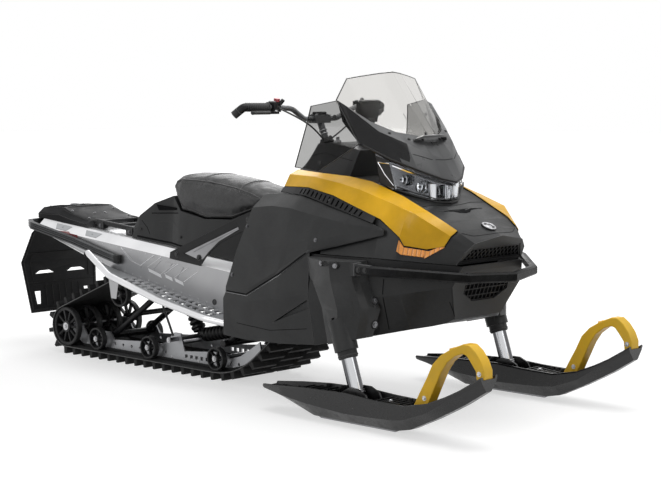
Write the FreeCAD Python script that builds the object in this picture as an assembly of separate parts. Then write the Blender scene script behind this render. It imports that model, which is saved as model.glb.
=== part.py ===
import FreeCAD, Part
import math
import os

# Utility snowmobile, millimetres: +X forward, +Y left, +Z up, origin on the ground under the middle.

V = FreeCAD.Vector

# Ground contact and running gear
track_width = 406.0
belt_thick = 6.0
lug_height = 31.0
lug_pitch = 64.0
lug_foot = 22.0
lug_tip = 13.0
belt_step = 12.0
nose_step = 6.0
idler_radius = 92.0
idler_x = -1220.0
sprocket_radius = 76.0
sprocket_x = 214.0
sprocket_z = 346.0
carrier_radius = 62.0
carrier_x = -838.0
carrier_z = 318.0
nose_radius = 400.0
approach_angle = 40.0
bogie_radius = 52.0
bogie_places = (-1010.0, -640.0, -190.0)
cross_x = -480.0
cross_z = 142.0
rail_y = track_width / 2 - 63
bogie_y = rail_y + 32
idler_y = rail_y + 44
arm_leg_y = 100.0
front_arm_top = V(40, 0, 318)
front_arm_low = V(-190, 0, 150)
rear_arm_top = V(-600, 0, 362)
rear_arm_low = V(-976, 0, 104)
arm_shaft = 15.0
spring_coil = 24.0
rail_thick = 8.0
slider_height = 12.0
slider_width = 20.0
wheel_width = 24.0
axle_radius = 10.0
run_gap = 0.3

# Tunnel, running boards and rear end
tunnel_room = 12.0
tunnel_half = track_width / 2 + tunnel_room
tunnel_top_half = tunnel_half - 40
tunnel_wall = 3.0
emboss = 2.0
tunnel_rise = 0.086
tunnel_top_origin = 511.0
tunnel_bend_drop = 35.0
tunnel_rear_x = -1405.0
tunnel_front_x = 430.0
tunnel_foot_line = [(tunnel_rear_x, 584), (-866, 432), (-122, 309), (143, 266), (tunnel_front_x, 262)]
emboss_outlines = [[(-560, 508), (-500, 502), (-556, 452), (-616, 464)],
                   [(-478, 496), (-428, 490), (-484, 436), (-534, 446)],
                   [(-392, 484), (-352, 478), (-402, 424), (-446, 432)],
                   [(-777, 528), (-765, 528), (-690, 478), (-640, 466), (-640, 456), (-698, 468)]]
board_thick = 4.0
board_tube = 14.0
board_y_line = [(-866, tunnel_half + 103), (-697, tunnel_half + 141), (-336, tunnel_half + 163),
                (-60, tunnel_half + 151), (44, 322), (120, 320)]
board_z_line = [(-866, 496), (-697, 428), (-336, 350), (-60, 300), (44, 280), (120, 266)]
slot_rows = (tunnel_half + 25, tunnel_half + 77)
slot_count = 14
slot_pitch = 42.0
bracket_thick = 6.0
knee_thick = 4.0
flap_thick = 5.0
flap_top_x = -1470.0
flap_mid_x = -1530.0
flap_low_x = -1490.0
grab_half = 10.0
grab_section = [(10, -17), (10, -7), (7, -6), (10, -5), (10, 5), (7, 6), (10, 7), (10, 17), (-10, 17),
                (-10, -17)]
anchor_x = -1330.0
anchor_radius = 10.0
anchor_depth = 30.0

# Skis and legs
ski_stance = 924.0
ski_half = 74.0
leg_rake = 18.8
leg_radius = 29.0
leg_foot_x = 907.0
leg_foot_z = 109.0
leg_top_z = 390.0
ski_pin_z = 72.0
ski_pin_radius = 9.0
saddle_half = 34.0
joint_clear = 0.1
ski_tip_x = 1530.0
handle_half = 25.0

# Ski sections as (x, half width, keel, side's lower edge, rim)
ski_stops = [(440, 46, 84, 88, 104), (560, 68, 52, 76, 114), (700, 74, 10, 62, 124), (900, 74, 10, 50, 130),
             (1040, 74, 10, 54, 122), (1120, 74, 10, 58, 120), (1187, 74, 24, 66, 119),
             (1300, 72, 76, 108, 142), (1381, 66, 118, 158, 176), (1440, 60, 150, 190, 206),
             (ski_tip_x, 48, 206, 242, 262)]
ski_rib_places = (620, 660, 700, 740, 780, 1024, 1048, 1072, 1096, 1120, 1144)

# Bodywork
housing_inner = 362.0
housing_low = 392.0
bracket_front = 880.0
bumper_line = [V(bracket_front, 438, 585), V(950, 438, 584), V(1040, 384, 578), V(1226, 202, 558),
               V(1284, 0, 551)]
bumper_section = [(14, -12), (14, 12), (7, 19), (-7, 19), (-14, 12), (-14, -12), (-7, -19), (7, -19)]
housing_top_z = 612.0
wall = 4.0
panel_gap = 0.8
hood_gap = 2.4
nose_station = (1211.0, 0.33)
hood_station = (1218.0, 0.6)
accent_thick = 5.0
nose_wall = 6.0
grille_pitch = 23.0
intake_pitch = 24.0
grille_opening = [(146, 664), (184, 612), (-184, 612), (-146, 664)]
intake_opening = [(134, 526), (134, 486), (70, 452), (-70, 452), (-134, 486), (-134, 526)]
wedge = [(372, 328), (582, 403), (582, 438)]
wedge_depth = 12.0
slat_count = 15
slat_start = 420.0
slat_pitch = 27.0
screen_thick = 4.0
lens_thick = 4.0
reflector_room = 12.0

# Handlebar
bar_radius = 11.0
grip_radius = 17.0
post_rake = 24.0
post_radius = 14.0
post_foot = V(325, 0, 992)
cable_bend = 30.0


def solid(shape):
    """Return the one solid in a shape, facing outwards."""
    body = shape.Solids[0] if shape.Solids else Part.Solid(shape.Shells[0])
    if body.Volume < 0:
        body.reverse()
    return body


def flip(shape):
    """Mirror a shape to the other side of the machine."""
    return shape.mirror(V(0, 0, 0), V(0, 1, 0))


def both(shape):
    """A left shape and its mirror image as one compound."""
    return Part.makeCompound([shape, flip(shape)])


def closed(points):
    """Closed polygon wire through points."""
    return Part.makePolygon(list(points) + [points[0]])


def loft(sections):
    """Solid with straight rulings through closed polygons."""
    return solid(Part.makeLoft([closed(section) for section in sections], True, True))


def slab_y(outline, y_low, y_high):
    """Extrude an outline of (x, z) points between two y planes."""
    face = Part.Face(closed([V(x, y_low, z) for x, z in outline]))
    return face.extrude(V(0, y_high - y_low, 0))


def slab_z(outline, z_low, z_high):
    """Extrude an outline of (x, y) points between two z planes."""
    face = Part.Face(closed([V(x, y, z_low) for x, y in outline]))
    return face.extrude(V(0, 0, z_high - z_low))


def rod(start, end, radius):
    """Round bar between two points."""
    return Part.makeCylinder(radius, (end - start).Length, start, end - start)


def disc_y(x, z, y_mid, radius, width):
    """Disc whose axle runs along Y."""
    return Part.makeCylinder(radius, width, V(x, y_mid - width / 2, z), V(0, 1, 0))


def ring_y(x, z, y_mid, radius, hole, width):
    """Ring whose axle runs along Y."""
    return disc_y(x, z, y_mid, radius, width).cut(disc_y(x, z, y_mid, hole, width))


def bent_path(points, bend):
    """Straight runs joined by tangent arcs of one bend radius, cut short where the runs are short."""
    edges = []
    last = points[0]
    for before, corner, after in zip(points, points[1:], points[2:]):
        inward = (before - corner).normalize()
        onward = (after - corner).normalize()
        half_turn = (math.pi - inward.getAngle(onward)) / 2
        shorter = min((before - corner).Length, (after - corner).Length)
        setback = min(bend * math.tan(half_turn), 0.45 * shorter)
        radius = setback / math.tan(half_turn)
        begin = corner + inward * setback
        finish = corner + onward * setback
        centre = corner + (inward + onward).normalize() * (radius / math.cos(half_turn))
        middle = centre + (corner - centre).normalize() * radius
        edges.append(Part.makeLine(last, begin))
        edges.append(Part.Arc(begin, middle, finish).toShape())
        last = finish
    edges.append(Part.makeLine(last, points[-1]))
    return Part.Wire(edges)


def tube(points, radius, bend):
    """Round tube along a bent path."""
    path = bent_path(points, bend)
    ring = Part.Wire(Part.makeCircle(radius, points[0], points[1] - points[0]))
    return solid(path.makePipeShell([ring], True, False))


def bar(points, section):
    """Bar with an upright section of (out, up) points, mitred where its path turns in plan."""
    runs = [V(end.x - start.x, end.y - start.y, 0).normalize() for start, end in zip(points, points[1:])]
    rings = []
    for point, come, go in zip(points, runs[:1] + runs, runs + runs[-1:]):
        middle = (come + go).normalize()
        side = V(middle.y, -middle.x, 0) * (1 / middle.dot(go))
        rings.append([point + side * out + V(0, 0, up) for out, up in section])
    return loft(rings)


def fuse(shapes):
    """One solid from shapes that overlap or touch."""
    return shapes[0].multiFuse(shapes[1:]).removeSplitter()


# Body lines of the left side, from the hood's middle down to the belly's middle
hood_middle = [V(560, 0, 940), V(970, 0, 815), V(1190, 0, 722), V(1224, 0, 704)]
accent_inner = [V(300, 168, 925), V(480, 214, 919), V(726, 222, 908), V(897, 206, 850), V(1128, 190, 744),
                V(1200, 150, 690), V(1212, 140, 680)]
accent_crease = [V(300, 214, 908), V(532, 262, 905), V(780, 292, 866), V(1024, 272, 788), V(1142, 206, 708),
                 V(1204, 158, 664)]
accent_outer = [V(300, 240, 862), V(552, 302, 868), V(894, 332, 770), V(973, 324, 736), V(995, 304, 672),
                V(1081, 254, 658), V(1150, 210, 676), V(1200, 176, 640)]
hood_edge = [V(560, 388, 622), V(760, 392, 624), V(940, 352, 622), V(1050, 286, 612), V(1175, 186, 600)]
panel_top = [V(150, 258, 820), V(209, 262, 828), V(300, 262, 840), V(470, 304, 836), V(700, 344, 792),
             V(890, 352, 748), V(940, 350, 728)]
panel_shoulder = [V(150, 318, 770), V(209, 318, 778), V(300, 330, 790), V(470, 356, 786), V(700, 376, 750),
                  V(890, 358, 736), V(940, 351, 722)]
panel_mid = [V(100, 356, 600), V(226, 372, 610), V(423, 388, 640), V(586, 396, 670), V(760, 386, 702),
             V(940, 351, 718)]
panel_lip = [V(60, 380, 450), V(226, 395, 446), V(423, 406, 541), V(586, 404, 635), V(760, 393, 671),
             V(940, 351, 715)]
panel_seam = [V(60, 376, 426), V(226, 390, 422), V(423, 401, 522), V(586, 401, 623), V(760, 392, 664),
              V(940, 351, 712)]
lower_wide = [V(60, 384, 400), V(226, 396, 396), V(423, 408, 430), V(620, 410, 470), V(760, 404, 480),
              V(935, 368, 477), V(1050, 300, 500), V(1160, 205, 520)]
belly_edge = [V(60, 342, 236), V(261, 350, 228), V(634, 374, 262), V(858, 352, 316), V(1009, 262, 352),
              V(1076, 170, 366), V(1130, 120, 400)]
belly_middle = [V(440, 0, 262), V(634, 0, 276), V(858, 0, 322), V(1009, 0, 356), V(1076, 0, 370),
                V(1130, 0, 396)]
rake_height = 700.0
floor_z = lug_height + belt_thick


def meet(line, station):
    """Point where a body line crosses a raked station plane."""
    x_plane, rake = station

    def ahead(point):
        """How far a point lies ahead of the station plane."""
        return point.x - x_plane - rake * (point.z - rake_height)

    spans = list(zip(line, line[1:]))
    chosen = spans[-1]
    for span in spans:
        if ahead(span[1]) >= 0:
            chosen = span
            break
    start, end = chosen
    share = -ahead(start) / (ahead(end) - ahead(start))
    return start + (end - start) * share


def offset_row(row, station, distance):
    """Move a row of section points square to itself, staying in the station plane."""
    rake = station[1]
    moved = []
    for index, point in enumerate(row):
        before = row[max(index - 1, 0)]
        after = row[min(index + 1, len(row) - 1)]
        normals = []
        for start, end in ((before, point), (point, after)):
            run = V(0, end.y - start.y, end.z - start.z)
            if run.Length > 0.01:
                normals.append(V(0, -run.z, run.y).normalize())
        normal = (normals[0] + normals[-1]).normalize()
        reach = distance / max(normal.dot(normals[0]), 0.5)
        step = normal * reach
        moved.append(V(point.x + rake * step.z, point.y + step.y, point.z + step.z))
    return moved


def strip(lines, stations, outside, inside):
    """Panel between body lines, from one distance off the lines to another."""
    sections = []
    for station in stations:
        row = [meet(line, station) for line in lines]
        outer = offset_row(row, station, outside)
        inner = offset_row(row, station, inside)
        sections.append(outer + inner[::-1])
    return loft(sections)


def arch(lines, stations, outside, inside):
    """Panel that runs over or under the middle from side to side."""
    sections = []
    for station in stations:
        row = [meet(line, station) for line in lines]
        middle = [point for point in row if abs(point.y) < 0.01]
        sides = [point for point in row if abs(point.y) >= 0.01]
        left = middle + sides
        right = [V(p.x, -p.y, p.z) for p in sides]
        full = right[::-1] + left
        outer = offset_row(full, station, outside)
        inner = offset_row(full, station, inside)
        sections.append(outer + inner[::-1])
    return loft(sections)


def shifted(line, up, out=0.0):
    """A body line moved up and outwards."""
    return [V(p.x, p.y + out, p.z + up) for p in line]


# Track and running gear

def flat_radius(radius, step):
    """Radius that just touches the flats of an arc drawn in steps."""
    return radius * math.cos(math.radians(step / 2))


def arc_points(centre_x, centre_z, radius, begin, finish, step=belt_step):
    """Points along an arc in the XZ plane, angles in degrees."""
    count = max(2, int(math.ceil(abs(finish - begin) / step)))
    points = []
    for index in range(count + 1):
        angle = math.radians(begin + (finish - begin) * index / count)
        points.append((centre_x + radius * math.cos(angle), centre_z + radius * math.sin(angle)))
    return points


def tangent_angle(c1, r1, c2, r2):
    """Direction of the outer normal of the line that touches two circles on their left side."""
    dx, dz = c2[0] - c1[0], c2[1] - c1[1]
    return math.degrees(math.atan2(dz, dx) + math.acos((r1 - r2) / math.hypot(dx, dz)))


def belt_loop(grow):
    """Closed outline of the belt, grown outwards from its inner face."""
    idler = (idler_x, floor_z + idler_radius)
    carrier = (carrier_x, carrier_z)
    sprocket = (sprocket_x, sprocket_z)
    up_rear = tangent_angle(idler, idler_radius, carrier, carrier_radius)
    up_front = tangent_angle(carrier, carrier_radius, sprocket, sprocket_radius)
    points = arc_points(*idler, idler_radius + grow, 270.0, up_rear)
    points += arc_points(*carrier, carrier_radius + grow, up_rear, up_front)
    points += arc_points(*sprocket, sprocket_radius + grow, up_front, approach_angle - 90.0)
    rise = math.radians(approach_angle)
    down = V(math.sin(rise), 0, -math.cos(rise))
    climb = V(math.cos(rise), 0, math.sin(rise))
    touch = V(sprocket_x, 0, sprocket_z) + down * sprocket_radius
    reach = (touch.z - floor_z) / climb.z
    foot_x = touch.x - reach * climb.x
    setback = nose_radius * math.tan(rise / 2)
    nose = (foot_x - setback, floor_z + nose_radius)
    points += arc_points(*nose, nose_radius + grow, approach_angle - 90.0, -90.0, nose_step)
    return points


def walk(points):
    """Running length at each point of a closed outline, and its whole length."""
    ring = points + [points[0]]
    lengths = [0.0]
    for start, end in zip(ring, ring[1:]):
        lengths.append(lengths[-1] + math.dist(start, end))
    return ring, lengths


def place_on(ring, lengths, distance):
    """Point and outward direction at a running length."""
    distance = distance % lengths[-1]
    for index in range(len(ring) - 1):
        if lengths[index + 1] >= distance:
            break
    start, end = ring[index], ring[index + 1]
    span = lengths[index + 1] - lengths[index]
    share = (distance - lengths[index]) / span
    x = start[0] + (end[0] - start[0]) * share
    z = start[1] + (end[1] - start[1]) * share
    return (x, z), (-(end[1] - start[1]) / span, (end[0] - start[0]) / span)


def track_band(y_low, y_high, phase, height):
    """Part of the belt's width with its lugs standing out of the outline."""
    ring, lengths = walk(belt_loop(belt_thick))
    count = int(round(lengths[-1] / lug_pitch))
    pitch = lengths[-1] / count
    points = []
    for index in range(count):
        middle = (index + phase) * pitch
        low, high = middle - lug_foot / 2, middle + lug_foot / 2
        stops = [(low, 0.0), (middle - lug_tip / 2, height), (middle + lug_tip / 2, height), (high, 0.0)]
        stops += [(length, 0.0) for length in lengths if high + 1.0 < length < low + pitch - 1.0]
        for distance, lift in stops:
            (x, z), (nx, nz) = place_on(ring, lengths, distance)
            points.append((x + nx * lift, z + nz * lift))
    outer = closed([V(x, y_low, z) for x, z in points])
    inner = closed([V(x, y_low, z) for x, z in belt_loop(0.0)])
    face = Part.makeFace([outer, inner], "Part::FaceMakerBullseye")
    return face.extrude(V(0, y_high - y_low, 0))


def make_track():
    """Rubber belt with three rows of staggered lugs."""
    half = track_width / 2
    third = track_width / 6
    bands = [track_band(-half, -third, 0.0, lug_height), track_band(-third, third, 0.5, lug_height),
             track_band(third, half, 0.0, lug_height)]
    return fuse(bands)


def roller(x, z, y_mid, radius, width, spokes):
    """Wheel with a rubber rim, a hub and open spokes."""
    hub = ring_y(x, z, y_mid, radius * 0.3, axle_radius + run_gap, width)
    rim = ring_y(x, z, y_mid, radius, radius * 0.84, width)
    pieces = [hub, rim]
    for index in range(spokes):
        spoke = Part.makeBox(radius * 0.62, width * 0.6, radius * 0.1,
                             V(radius * 0.26, y_mid - width * 0.3, -radius * 0.05))
        spoke.rotate(V(0, 0, 0), V(0, 1, 0), 360.0 * index / spokes)
        spoke.translate(V(x, 0, z))
        pieces.append(spoke)
    return fuse(pieces)


def make_idler_wheels():
    """Two outer and two inner wheels at the back of the track."""
    z = floor_z + idler_radius
    radius = flat_radius(idler_radius, belt_step) - run_gap
    places = (-idler_y, -idler_y / 3, idler_y / 3, idler_y)
    return Part.makeCompound([roller(idler_x, z, y, radius, wheel_width, 10) for y in places])


def make_bogie_wheels():
    """Small wheels that carry the rails on the belt."""
    z = floor_z + bogie_radius + run_gap
    wheels = []
    for x in bogie_places:
        for side in (-1, 1):
            wheels.append(roller(x, z, side * bogie_y, bogie_radius, wheel_width, 5))
    return Part.makeCompound(wheels)


def make_carrier_wheels():
    """Upper wheels that the belt runs over."""
    radius = flat_radius(carrier_radius, belt_step) - run_gap
    return Part.makeCompound([roller(carrier_x, carrier_z, side * bogie_y, radius, wheel_width, 5)
                              for side in (-1, 1)])


def make_drive_axle():
    """Front shaft with three toothed sprockets."""
    pieces = [disc_y(sprocket_x, sprocket_z, 0, axle_radius * 1.4, 2 * (tunnel_half - tunnel_wall - run_gap))]
    outline = []
    teeth = 8
    for index in range(teeth * 2):
        radius = flat_radius(sprocket_radius, belt_step) - (run_gap if index % 2 else 16.0)
        for turn in (-0.18, 0.18):
            angle = math.pi * (index + turn * 2) / teeth
            outline.append((sprocket_x + radius * math.cos(angle), sprocket_z + radius * math.sin(angle)))
    for y in (-100.0, 0.0, 100.0):
        pieces.append(slab_y(outline, y - 8, y + 8))
    return fuse(pieces)


def rail_outline():
    """Side outline of a slide rail, from the idler axle to its upturned nose."""
    lift = 2 * run_gap + slider_height
    bottom = floor_z + lift
    rise = math.radians(approach_angle)
    foot_x = belt_foot_x()
    nose = (foot_x - nose_radius * math.tan(rise / 2), floor_z + nose_radius)
    radius = flat_radius(nose_radius, nose_step) - lift
    lower = arc_points(*nose, radius, -90.0, approach_angle - 92.0, nose_step)
    tip = lower[-1]
    upper = [(tip[0] - 8, tip[1] + 52), (tip[0] - 60, tip[1] + 18), (-70, 110)]
    for middle, half, height in ((-190, 26, 112), (cross_x, 22, 168), (-640, 26, 108), (-976, 22, 124),
                                 (-1020, 20, 108)):
        upper += [(middle + half + 24, 90), (middle + half, height), (middle - half, height)]
    upper += [(-1070, 90), (-1130, 94), (-1165, 142), (idler_x - 30, 142), (idler_x - 30, 108)]
    return [(-1160.0, bottom)] + lower + upper


def belt_foot_x():
    """Where the belt's front climb would meet the ground line."""
    rise = math.radians(approach_angle)
    touch_x = sprocket_x + sprocket_radius * math.sin(rise)
    touch_z = sprocket_z - sprocket_radius * math.cos(rise)
    return touch_x - (touch_z - floor_z) / math.tan(rise)


def make_rails():
    """Two aluminium slide rails with lightening holes."""
    rail = slab_y(rail_outline(), rail_y - rail_thick / 2, rail_y + rail_thick / 2)
    cutters = [disc_y(x, z, rail_y, axle_radius + run_gap, 20) for x, z, _ in shaft_places()]
    for index in range(6):
        cutters.append(Part.makeBox(18, 20, 16, V(-430 + index * 34, rail_y - 10, 62)))
    for x in (-1100, -920, -860, -800, -740, -560, -130, -80):
        cutters.append(disc_y(x, 72, rail_y, 7, 20))
    rail = rail.cut(Part.makeCompound(cutters))
    return both(rail)


def make_sliders():
    """Plastic strips under the rails that run on the belt."""
    rise = math.radians(approach_angle)
    nose = (belt_foot_x() - nose_radius * math.tan(rise / 2), floor_z + nose_radius)
    outer = flat_radius(nose_radius, nose_step)
    low = arc_points(*nose, outer - run_gap, -90.0, approach_angle - 94.0, nose_step / 2)
    high = arc_points(*nose, outer - slider_height, -90.0, approach_angle - 94.0, nose_step / 2)
    outline = [(-1150.0, floor_z + run_gap)] + low + high[::-1] + [(-1150.0, floor_z + slider_height)]
    strip_shape = slab_y(outline, rail_y - slider_width / 2, rail_y + slider_width / 2)
    return both(strip_shape)


def shaft_places():
    """Cross shafts in the rails as (x, z, half length)."""
    places = [(idler_x, floor_z + idler_radius, idler_y + wheel_width / 2)]
    for x in bogie_places:
        places.append((x, floor_z + bogie_radius + run_gap, bogie_y + wheel_width / 2))
    places.append((cross_x, cross_z, bogie_y + wheel_width))
    return places


def make_axles():
    """Cross shafts of the wheels and springs, seated in rails and tunnel."""
    shafts = [disc_y(x, z, 0, axle_radius, 2 * half) for x, z, half in shaft_places()]
    shafts.append(disc_y(carrier_x, carrier_z, 0, axle_radius, 2 * (tunnel_half - tunnel_wall - run_gap)))
    return Part.makeCompound(shafts)


def arm(top, bottom, top_half, bottom_half):
    """Welded swing arm: two shafts joined by two legs."""
    pieces = [disc_y(top.x, top.z, 0, arm_shaft, 2 * top_half),
              disc_y(bottom.x, bottom.z, 0, arm_shaft, 2 * bottom_half)]
    for side in (-1, 1):
        start = V(top.x, side * arm_leg_y, top.z)
        finish = V(bottom.x, side * arm_leg_y, bottom.z)
        pieces.append(rod(start, finish, 14))
    middle = top * 0.45 + bottom * 0.55
    pieces.append(rod(V(middle.x, -arm_leg_y, middle.z), V(middle.x, arm_leg_y, middle.z), 12))
    return fuse(pieces)


def make_skid_arms():
    """Front and rear swing arms between the tunnel and the rails."""
    top_half = tunnel_half - tunnel_wall - run_gap
    low_half = rail_y - rail_thick / 2 - run_gap
    return Part.makeCompound([arm(front_arm_top, front_arm_low, top_half, low_half),
                              arm(rear_arm_top, rear_arm_low, top_half, low_half)])


def damper(start, end):
    """Shock absorber with its spring, modelled as a wound outline."""
    run = (end - start)
    length = run.Length
    profile = [V(0, 0, 0), V(10, 0, 0), V(10, 0, 14), V(28, 0, 14), V(28, 0, 22)]
    turns = max(4, int(length * 0.6 / 22))
    for index in range(turns):
        base = 22 + length * 0.62 * index / turns
        step = length * 0.62 / turns
        profile += [V(33, 0, base + step * 0.25), V(33, 0, base + step * 0.6), V(24, 0, base + step)]
    top = 22 + length * 0.62
    profile += [V(28, 0, top), V(28, 0, top + 8), V(20, 0, top + 8), V(20, 0, length - 16)]
    profile += [V(12, 0, length - 16), V(12, 0, length), V(0, 0, length)]
    shape = solid(Part.Face(closed(profile)).revolve(V(0, 0, 0), V(0, 0, 1), 360))
    turn = FreeCAD.Rotation(V(0, 0, 1), run)
    shape.Placement = FreeCAD.Placement(start, turn)
    return shape


def damper_between(start, start_radius, end, end_radius):
    """Damper seated between two cross shafts."""
    run = (end - start).normalize()
    return damper(start + run * (start_radius + run_gap), end - run * (end_radius + run_gap))


def make_springs():
    """Two dampers and the coils with long legs beside the rear arm."""
    cross = V(cross_x, 0, cross_z)
    middle = front_arm_top * 0.45 + front_arm_low * 0.55
    pieces = [damper_between(cross, axle_radius, rear_arm_top, arm_shaft),
              damper_between(cross, axle_radius, middle, 12.0)]
    for side in (-1, 1):
        y = side * (rail_y + 34)
        coil = ring_y(rear_arm_top.x, rear_arm_top.z, y, spring_coil, arm_shaft + run_gap, 46)
        leg = rod(V(rear_arm_top.x + 20, y, rear_arm_top.z), V(cross_x + 6, y, cross_z + 17), 5)
        pieces.append(fuse([coil, leg]))
    return Part.makeCompound(pieces)


# Tunnel, boards and rear end

def tunnel_top(x):
    """Height of the tunnel's flat top."""
    return tunnel_top_origin - tunnel_rise * x


def side_foot(x):
    """Height where the tunnel side meets the running board."""
    return along(tunnel_foot_line, x)


def along(stops, x):
    """Straight line interpolation in a list of pairs."""
    for (x0, v0), (x1, v1) in zip(stops, stops[1:]):
        if x <= x1:
            break
    return v0 + (v1 - v0) * (x - x0) / (x1 - x0)


def tunnel_row(x, shrink):
    """Half outline of the tunnel section, from the top to the foot."""
    top = tunnel_top(x)
    return [V(x, tunnel_top_half - shrink * 0.6, top - shrink),
            V(x, tunnel_half - shrink, top - tunnel_bend_drop - shrink * 0.4),
            V(x, tunnel_half - shrink, side_foot(x))]


def make_tunnel():
    """Folded aluminium tunnel over the track, with ears for the skid and pressed ribs on its sides."""
    sections = []
    for x, _ in tunnel_foot_line:
        outer = tunnel_row(x, 0.0)
        inner = tunnel_row(x, tunnel_wall)
        section = [V(p.x, -p.y, p.z) for p in outer[::-1]] + outer + inner[::-1]
        section += [V(p.x, -p.y, p.z) for p in inner]
        sections.append(section)
    pieces = [loft(sections)]
    for x, z in ((carrier_x, carrier_z), (rear_arm_top.x, rear_arm_top.z)):
        behind = side_foot(x - 46) + 8
        ahead = side_foot(x + 46) + 8
        ear = [(x - 46, behind), (x + 46, ahead), (x + 18, z - 20), (x - 18, z - 20)]
        plate = slab_y(ear, tunnel_half - tunnel_wall, tunnel_half)
        pieces += [plate, flip(plate)]
    for outline in emboss_outlines:
        rib = slab_y(outline, tunnel_half - 1, tunnel_half + emboss)
        pieces += [rib, flip(rib)]
    return fuse(pieces)


def board_edge(x):
    """Outer edge of the running board as (y, z)."""
    return along(board_y_line, x), along(board_z_line, x)


def edge_tube(radius):
    """Bar of one radius along the running board's outer edge."""
    points = [V(x, *board_edge(x)) for x in (-905.0, -697.0, -336.0, -60.0, 44.0, 118.0)]
    return tube(points, radius, 120.0)


def make_running_board():
    """Perforated plate from the tunnel side out to the edge tube."""
    sections = []
    inner_y = tunnel_half + run_gap
    for x in (-860.0, -697.0, -336.0, -60.0, 30.0):
        y, z = board_edge(x)
        inner_z = side_foot(x) + 6
        sections.append([V(x, inner_y, inner_z), V(x, y, z), V(x, y, z + board_thick),
                         V(x, inner_y, inner_z + board_thick)])
    slots = [edge_tube(board_tube + run_gap)]
    for index in range(slot_count):
        x = -640 + index * slot_pitch
        for y in slot_rows:
            slots.append(Part.makeBox(24, 34, 120, V(x, y, board_edge(x)[1] - 60)))
    plate = loft(sections)
    for slot in slots:
        plate = plate.cut(slot)
    return max(plate.Solids, key=lambda piece: piece.Volume)


def make_board_rail():
    """Tube along the running board's outer edge."""
    return edge_tube(board_tube)


def make_snow_flap():
    """Bent rubber flap with see-through openings."""
    stations = [(tunnel_rear_x - flap_thick - run_gap, tunnel_top_half - 5, tunnel_top(tunnel_rear_x) - 0.5),
                (flap_top_x, 204.0, 560.0), (flap_mid_x, 227.0, 412.0), (flap_low_x, 200.0, 166.0)]
    sections = [[V(x, -half, z), V(x, half, z), V(x + flap_thick, half, z), V(x + flap_thick, -half, z)]
                for x, half, z in stations]
    flap = loft(sections)
    cutters = []
    for side in (-1, 1):
        upper = [(side * 40, 352), (side * 66, 366), (side * 126, 366), (side * 152, 352)]
        lower = [(side * 132, 268), (side * 168, 268), (side * 160, 206), (side * 138, 206)]
        for outline in (upper, lower):
            face = Part.Face(closed([V(-1600, y, z) for y, z in outline]))
            cutters.append(face.extrude(V(200, 0, 0)))
    return flap.cut(Part.makeCompound(cutters))


def make_rear_bumper():
    """Ribbed grab bar round the tunnel's rear end."""
    side = tunnel_half + grab_half + emboss + run_gap
    half = [V(-782, side, 478), V(-1110, side + 4, 548), V(tunnel_rear_x, side + 20, 604),
            V(-1456, side - 8, 611), V(-1468, side - 60, 612)]
    return bar(half + [V(p.x, -p.y, p.z) for p in half[::-1]], grab_section)


def make_reflectors():
    """Red side reflectors on the tunnel."""
    outline = [(-1290, 590), (-1098, 574), (-1098, 561), (-1150, 560)]
    return both(slab_y(outline, tunnel_half + run_gap, tunnel_half + 4))


def deck_section(x, z_top, half):
    """Section of the tail cover, seated on the tunnel."""
    base = tunnel_top(max(x, tunnel_rear_x)) + run_gap
    middle = (base + z_top) / 2
    row = [V(x, half, base), V(x, half, middle), V(x, half - 32, z_top - 3), V(x, 60, z_top)]
    return row + [V(p.x, -p.y, p.z) for p in row[::-1]]


def make_rear_deck():
    """Plastic cover on the tunnel's tail."""
    body = loft([deck_section(-1486, 668, 150), deck_section(-1452, 686, 172),
                 deck_section(tunnel_rear_x, 689, 173), deck_section(-1290, 692, 174),
                 deck_section(-1216, 664, 174), deck_section(-1090, 640, 168)])
    pocket = slab_z([(-1430, -140), (-1310, -140), (-1310, -60), (-1430, -60)], 682, 720)
    return body.cut(Part.makeCompound([pocket, flip(pocket), anchor_hole()]))


def anchor_hole():
    """Bore of the cargo anchor in the tail cover."""
    return Part.makeCylinder(anchor_radius, anchor_depth + 20, V(anchor_x, 0, 692 - anchor_depth))


def make_tail_light():
    """Red lamp across the back of the tail cover."""
    outline = [(-1486.3, 655), (-1500, 655), (-1500, 662), (-1494, 667), (-1486.3, 667)]
    return slab_y(outline, -60, 60)


def make_cargo_rack():
    """Two long rails and three cross bars on feet over the tunnel."""
    pieces = []
    for side in (-1, 1):
        for x in (-1040.0, -830.0):
            foot = tunnel_top(x - 23) + run_gap
            pieces.append(Part.makeBox(46, 30, 32, V(x - 23, side * 112 - 15, foot)))
        start = V(-1085, side * 112, tunnel_top(-1085) + 30)
        finish = V(-785, side * 112, tunnel_top(-785) + 30)
        pieces.append(rod(start, finish, 12))
    for x in (-1060.0, -935.0, -810.0):
        z = tunnel_top(x) + 30
        pieces.append(rod(V(x, -118, z), V(x, 118, z), 9))
    return fuse(pieces)


# Skis and legs

def leg_point(z):
    """Point on the left leg's axis at a height."""
    return V(leg_foot_x - math.tan(math.radians(leg_rake)) * (z - leg_foot_z), ski_stance / 2, z)


def ski_pin_x():
    """The ski's pivot lies on the leg's axis."""
    return leg_point(ski_pin_z).x


def make_leg():
    """Chrome leg with the pivot block at its foot."""
    shaft = rod(leg_point(leg_foot_z), leg_point(leg_top_z), leg_radius)
    pin_x = ski_pin_x()
    outline = [(pin_x - 22, ski_pin_z - 14), (pin_x - 10, ski_pin_z - 24), (pin_x + 10, ski_pin_z - 24),
               (pin_x + 22, ski_pin_z - 14), (pin_x + 14, leg_foot_z + 12), (pin_x - 36, leg_foot_z + 12)]
    block = slab_y(outline, ski_stance / 2 - 24, ski_stance / 2 + 24)
    foot = fuse([shaft, block])
    return foot.cut(disc_y(pin_x, ski_pin_z, ski_stance / 2, ski_pin_radius + joint_clear, 60))


def deck_height(keel, edge, rim):
    """Height of the ski's sunk deck in one section."""
    return max(rim - 26, edge + 8, keel + 12)


def ski_deck(x):
    """Height of the ski's deck along its length."""
    return along([(stop[0], deck_height(*stop[2:])) for stop in ski_stops], x)


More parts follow.
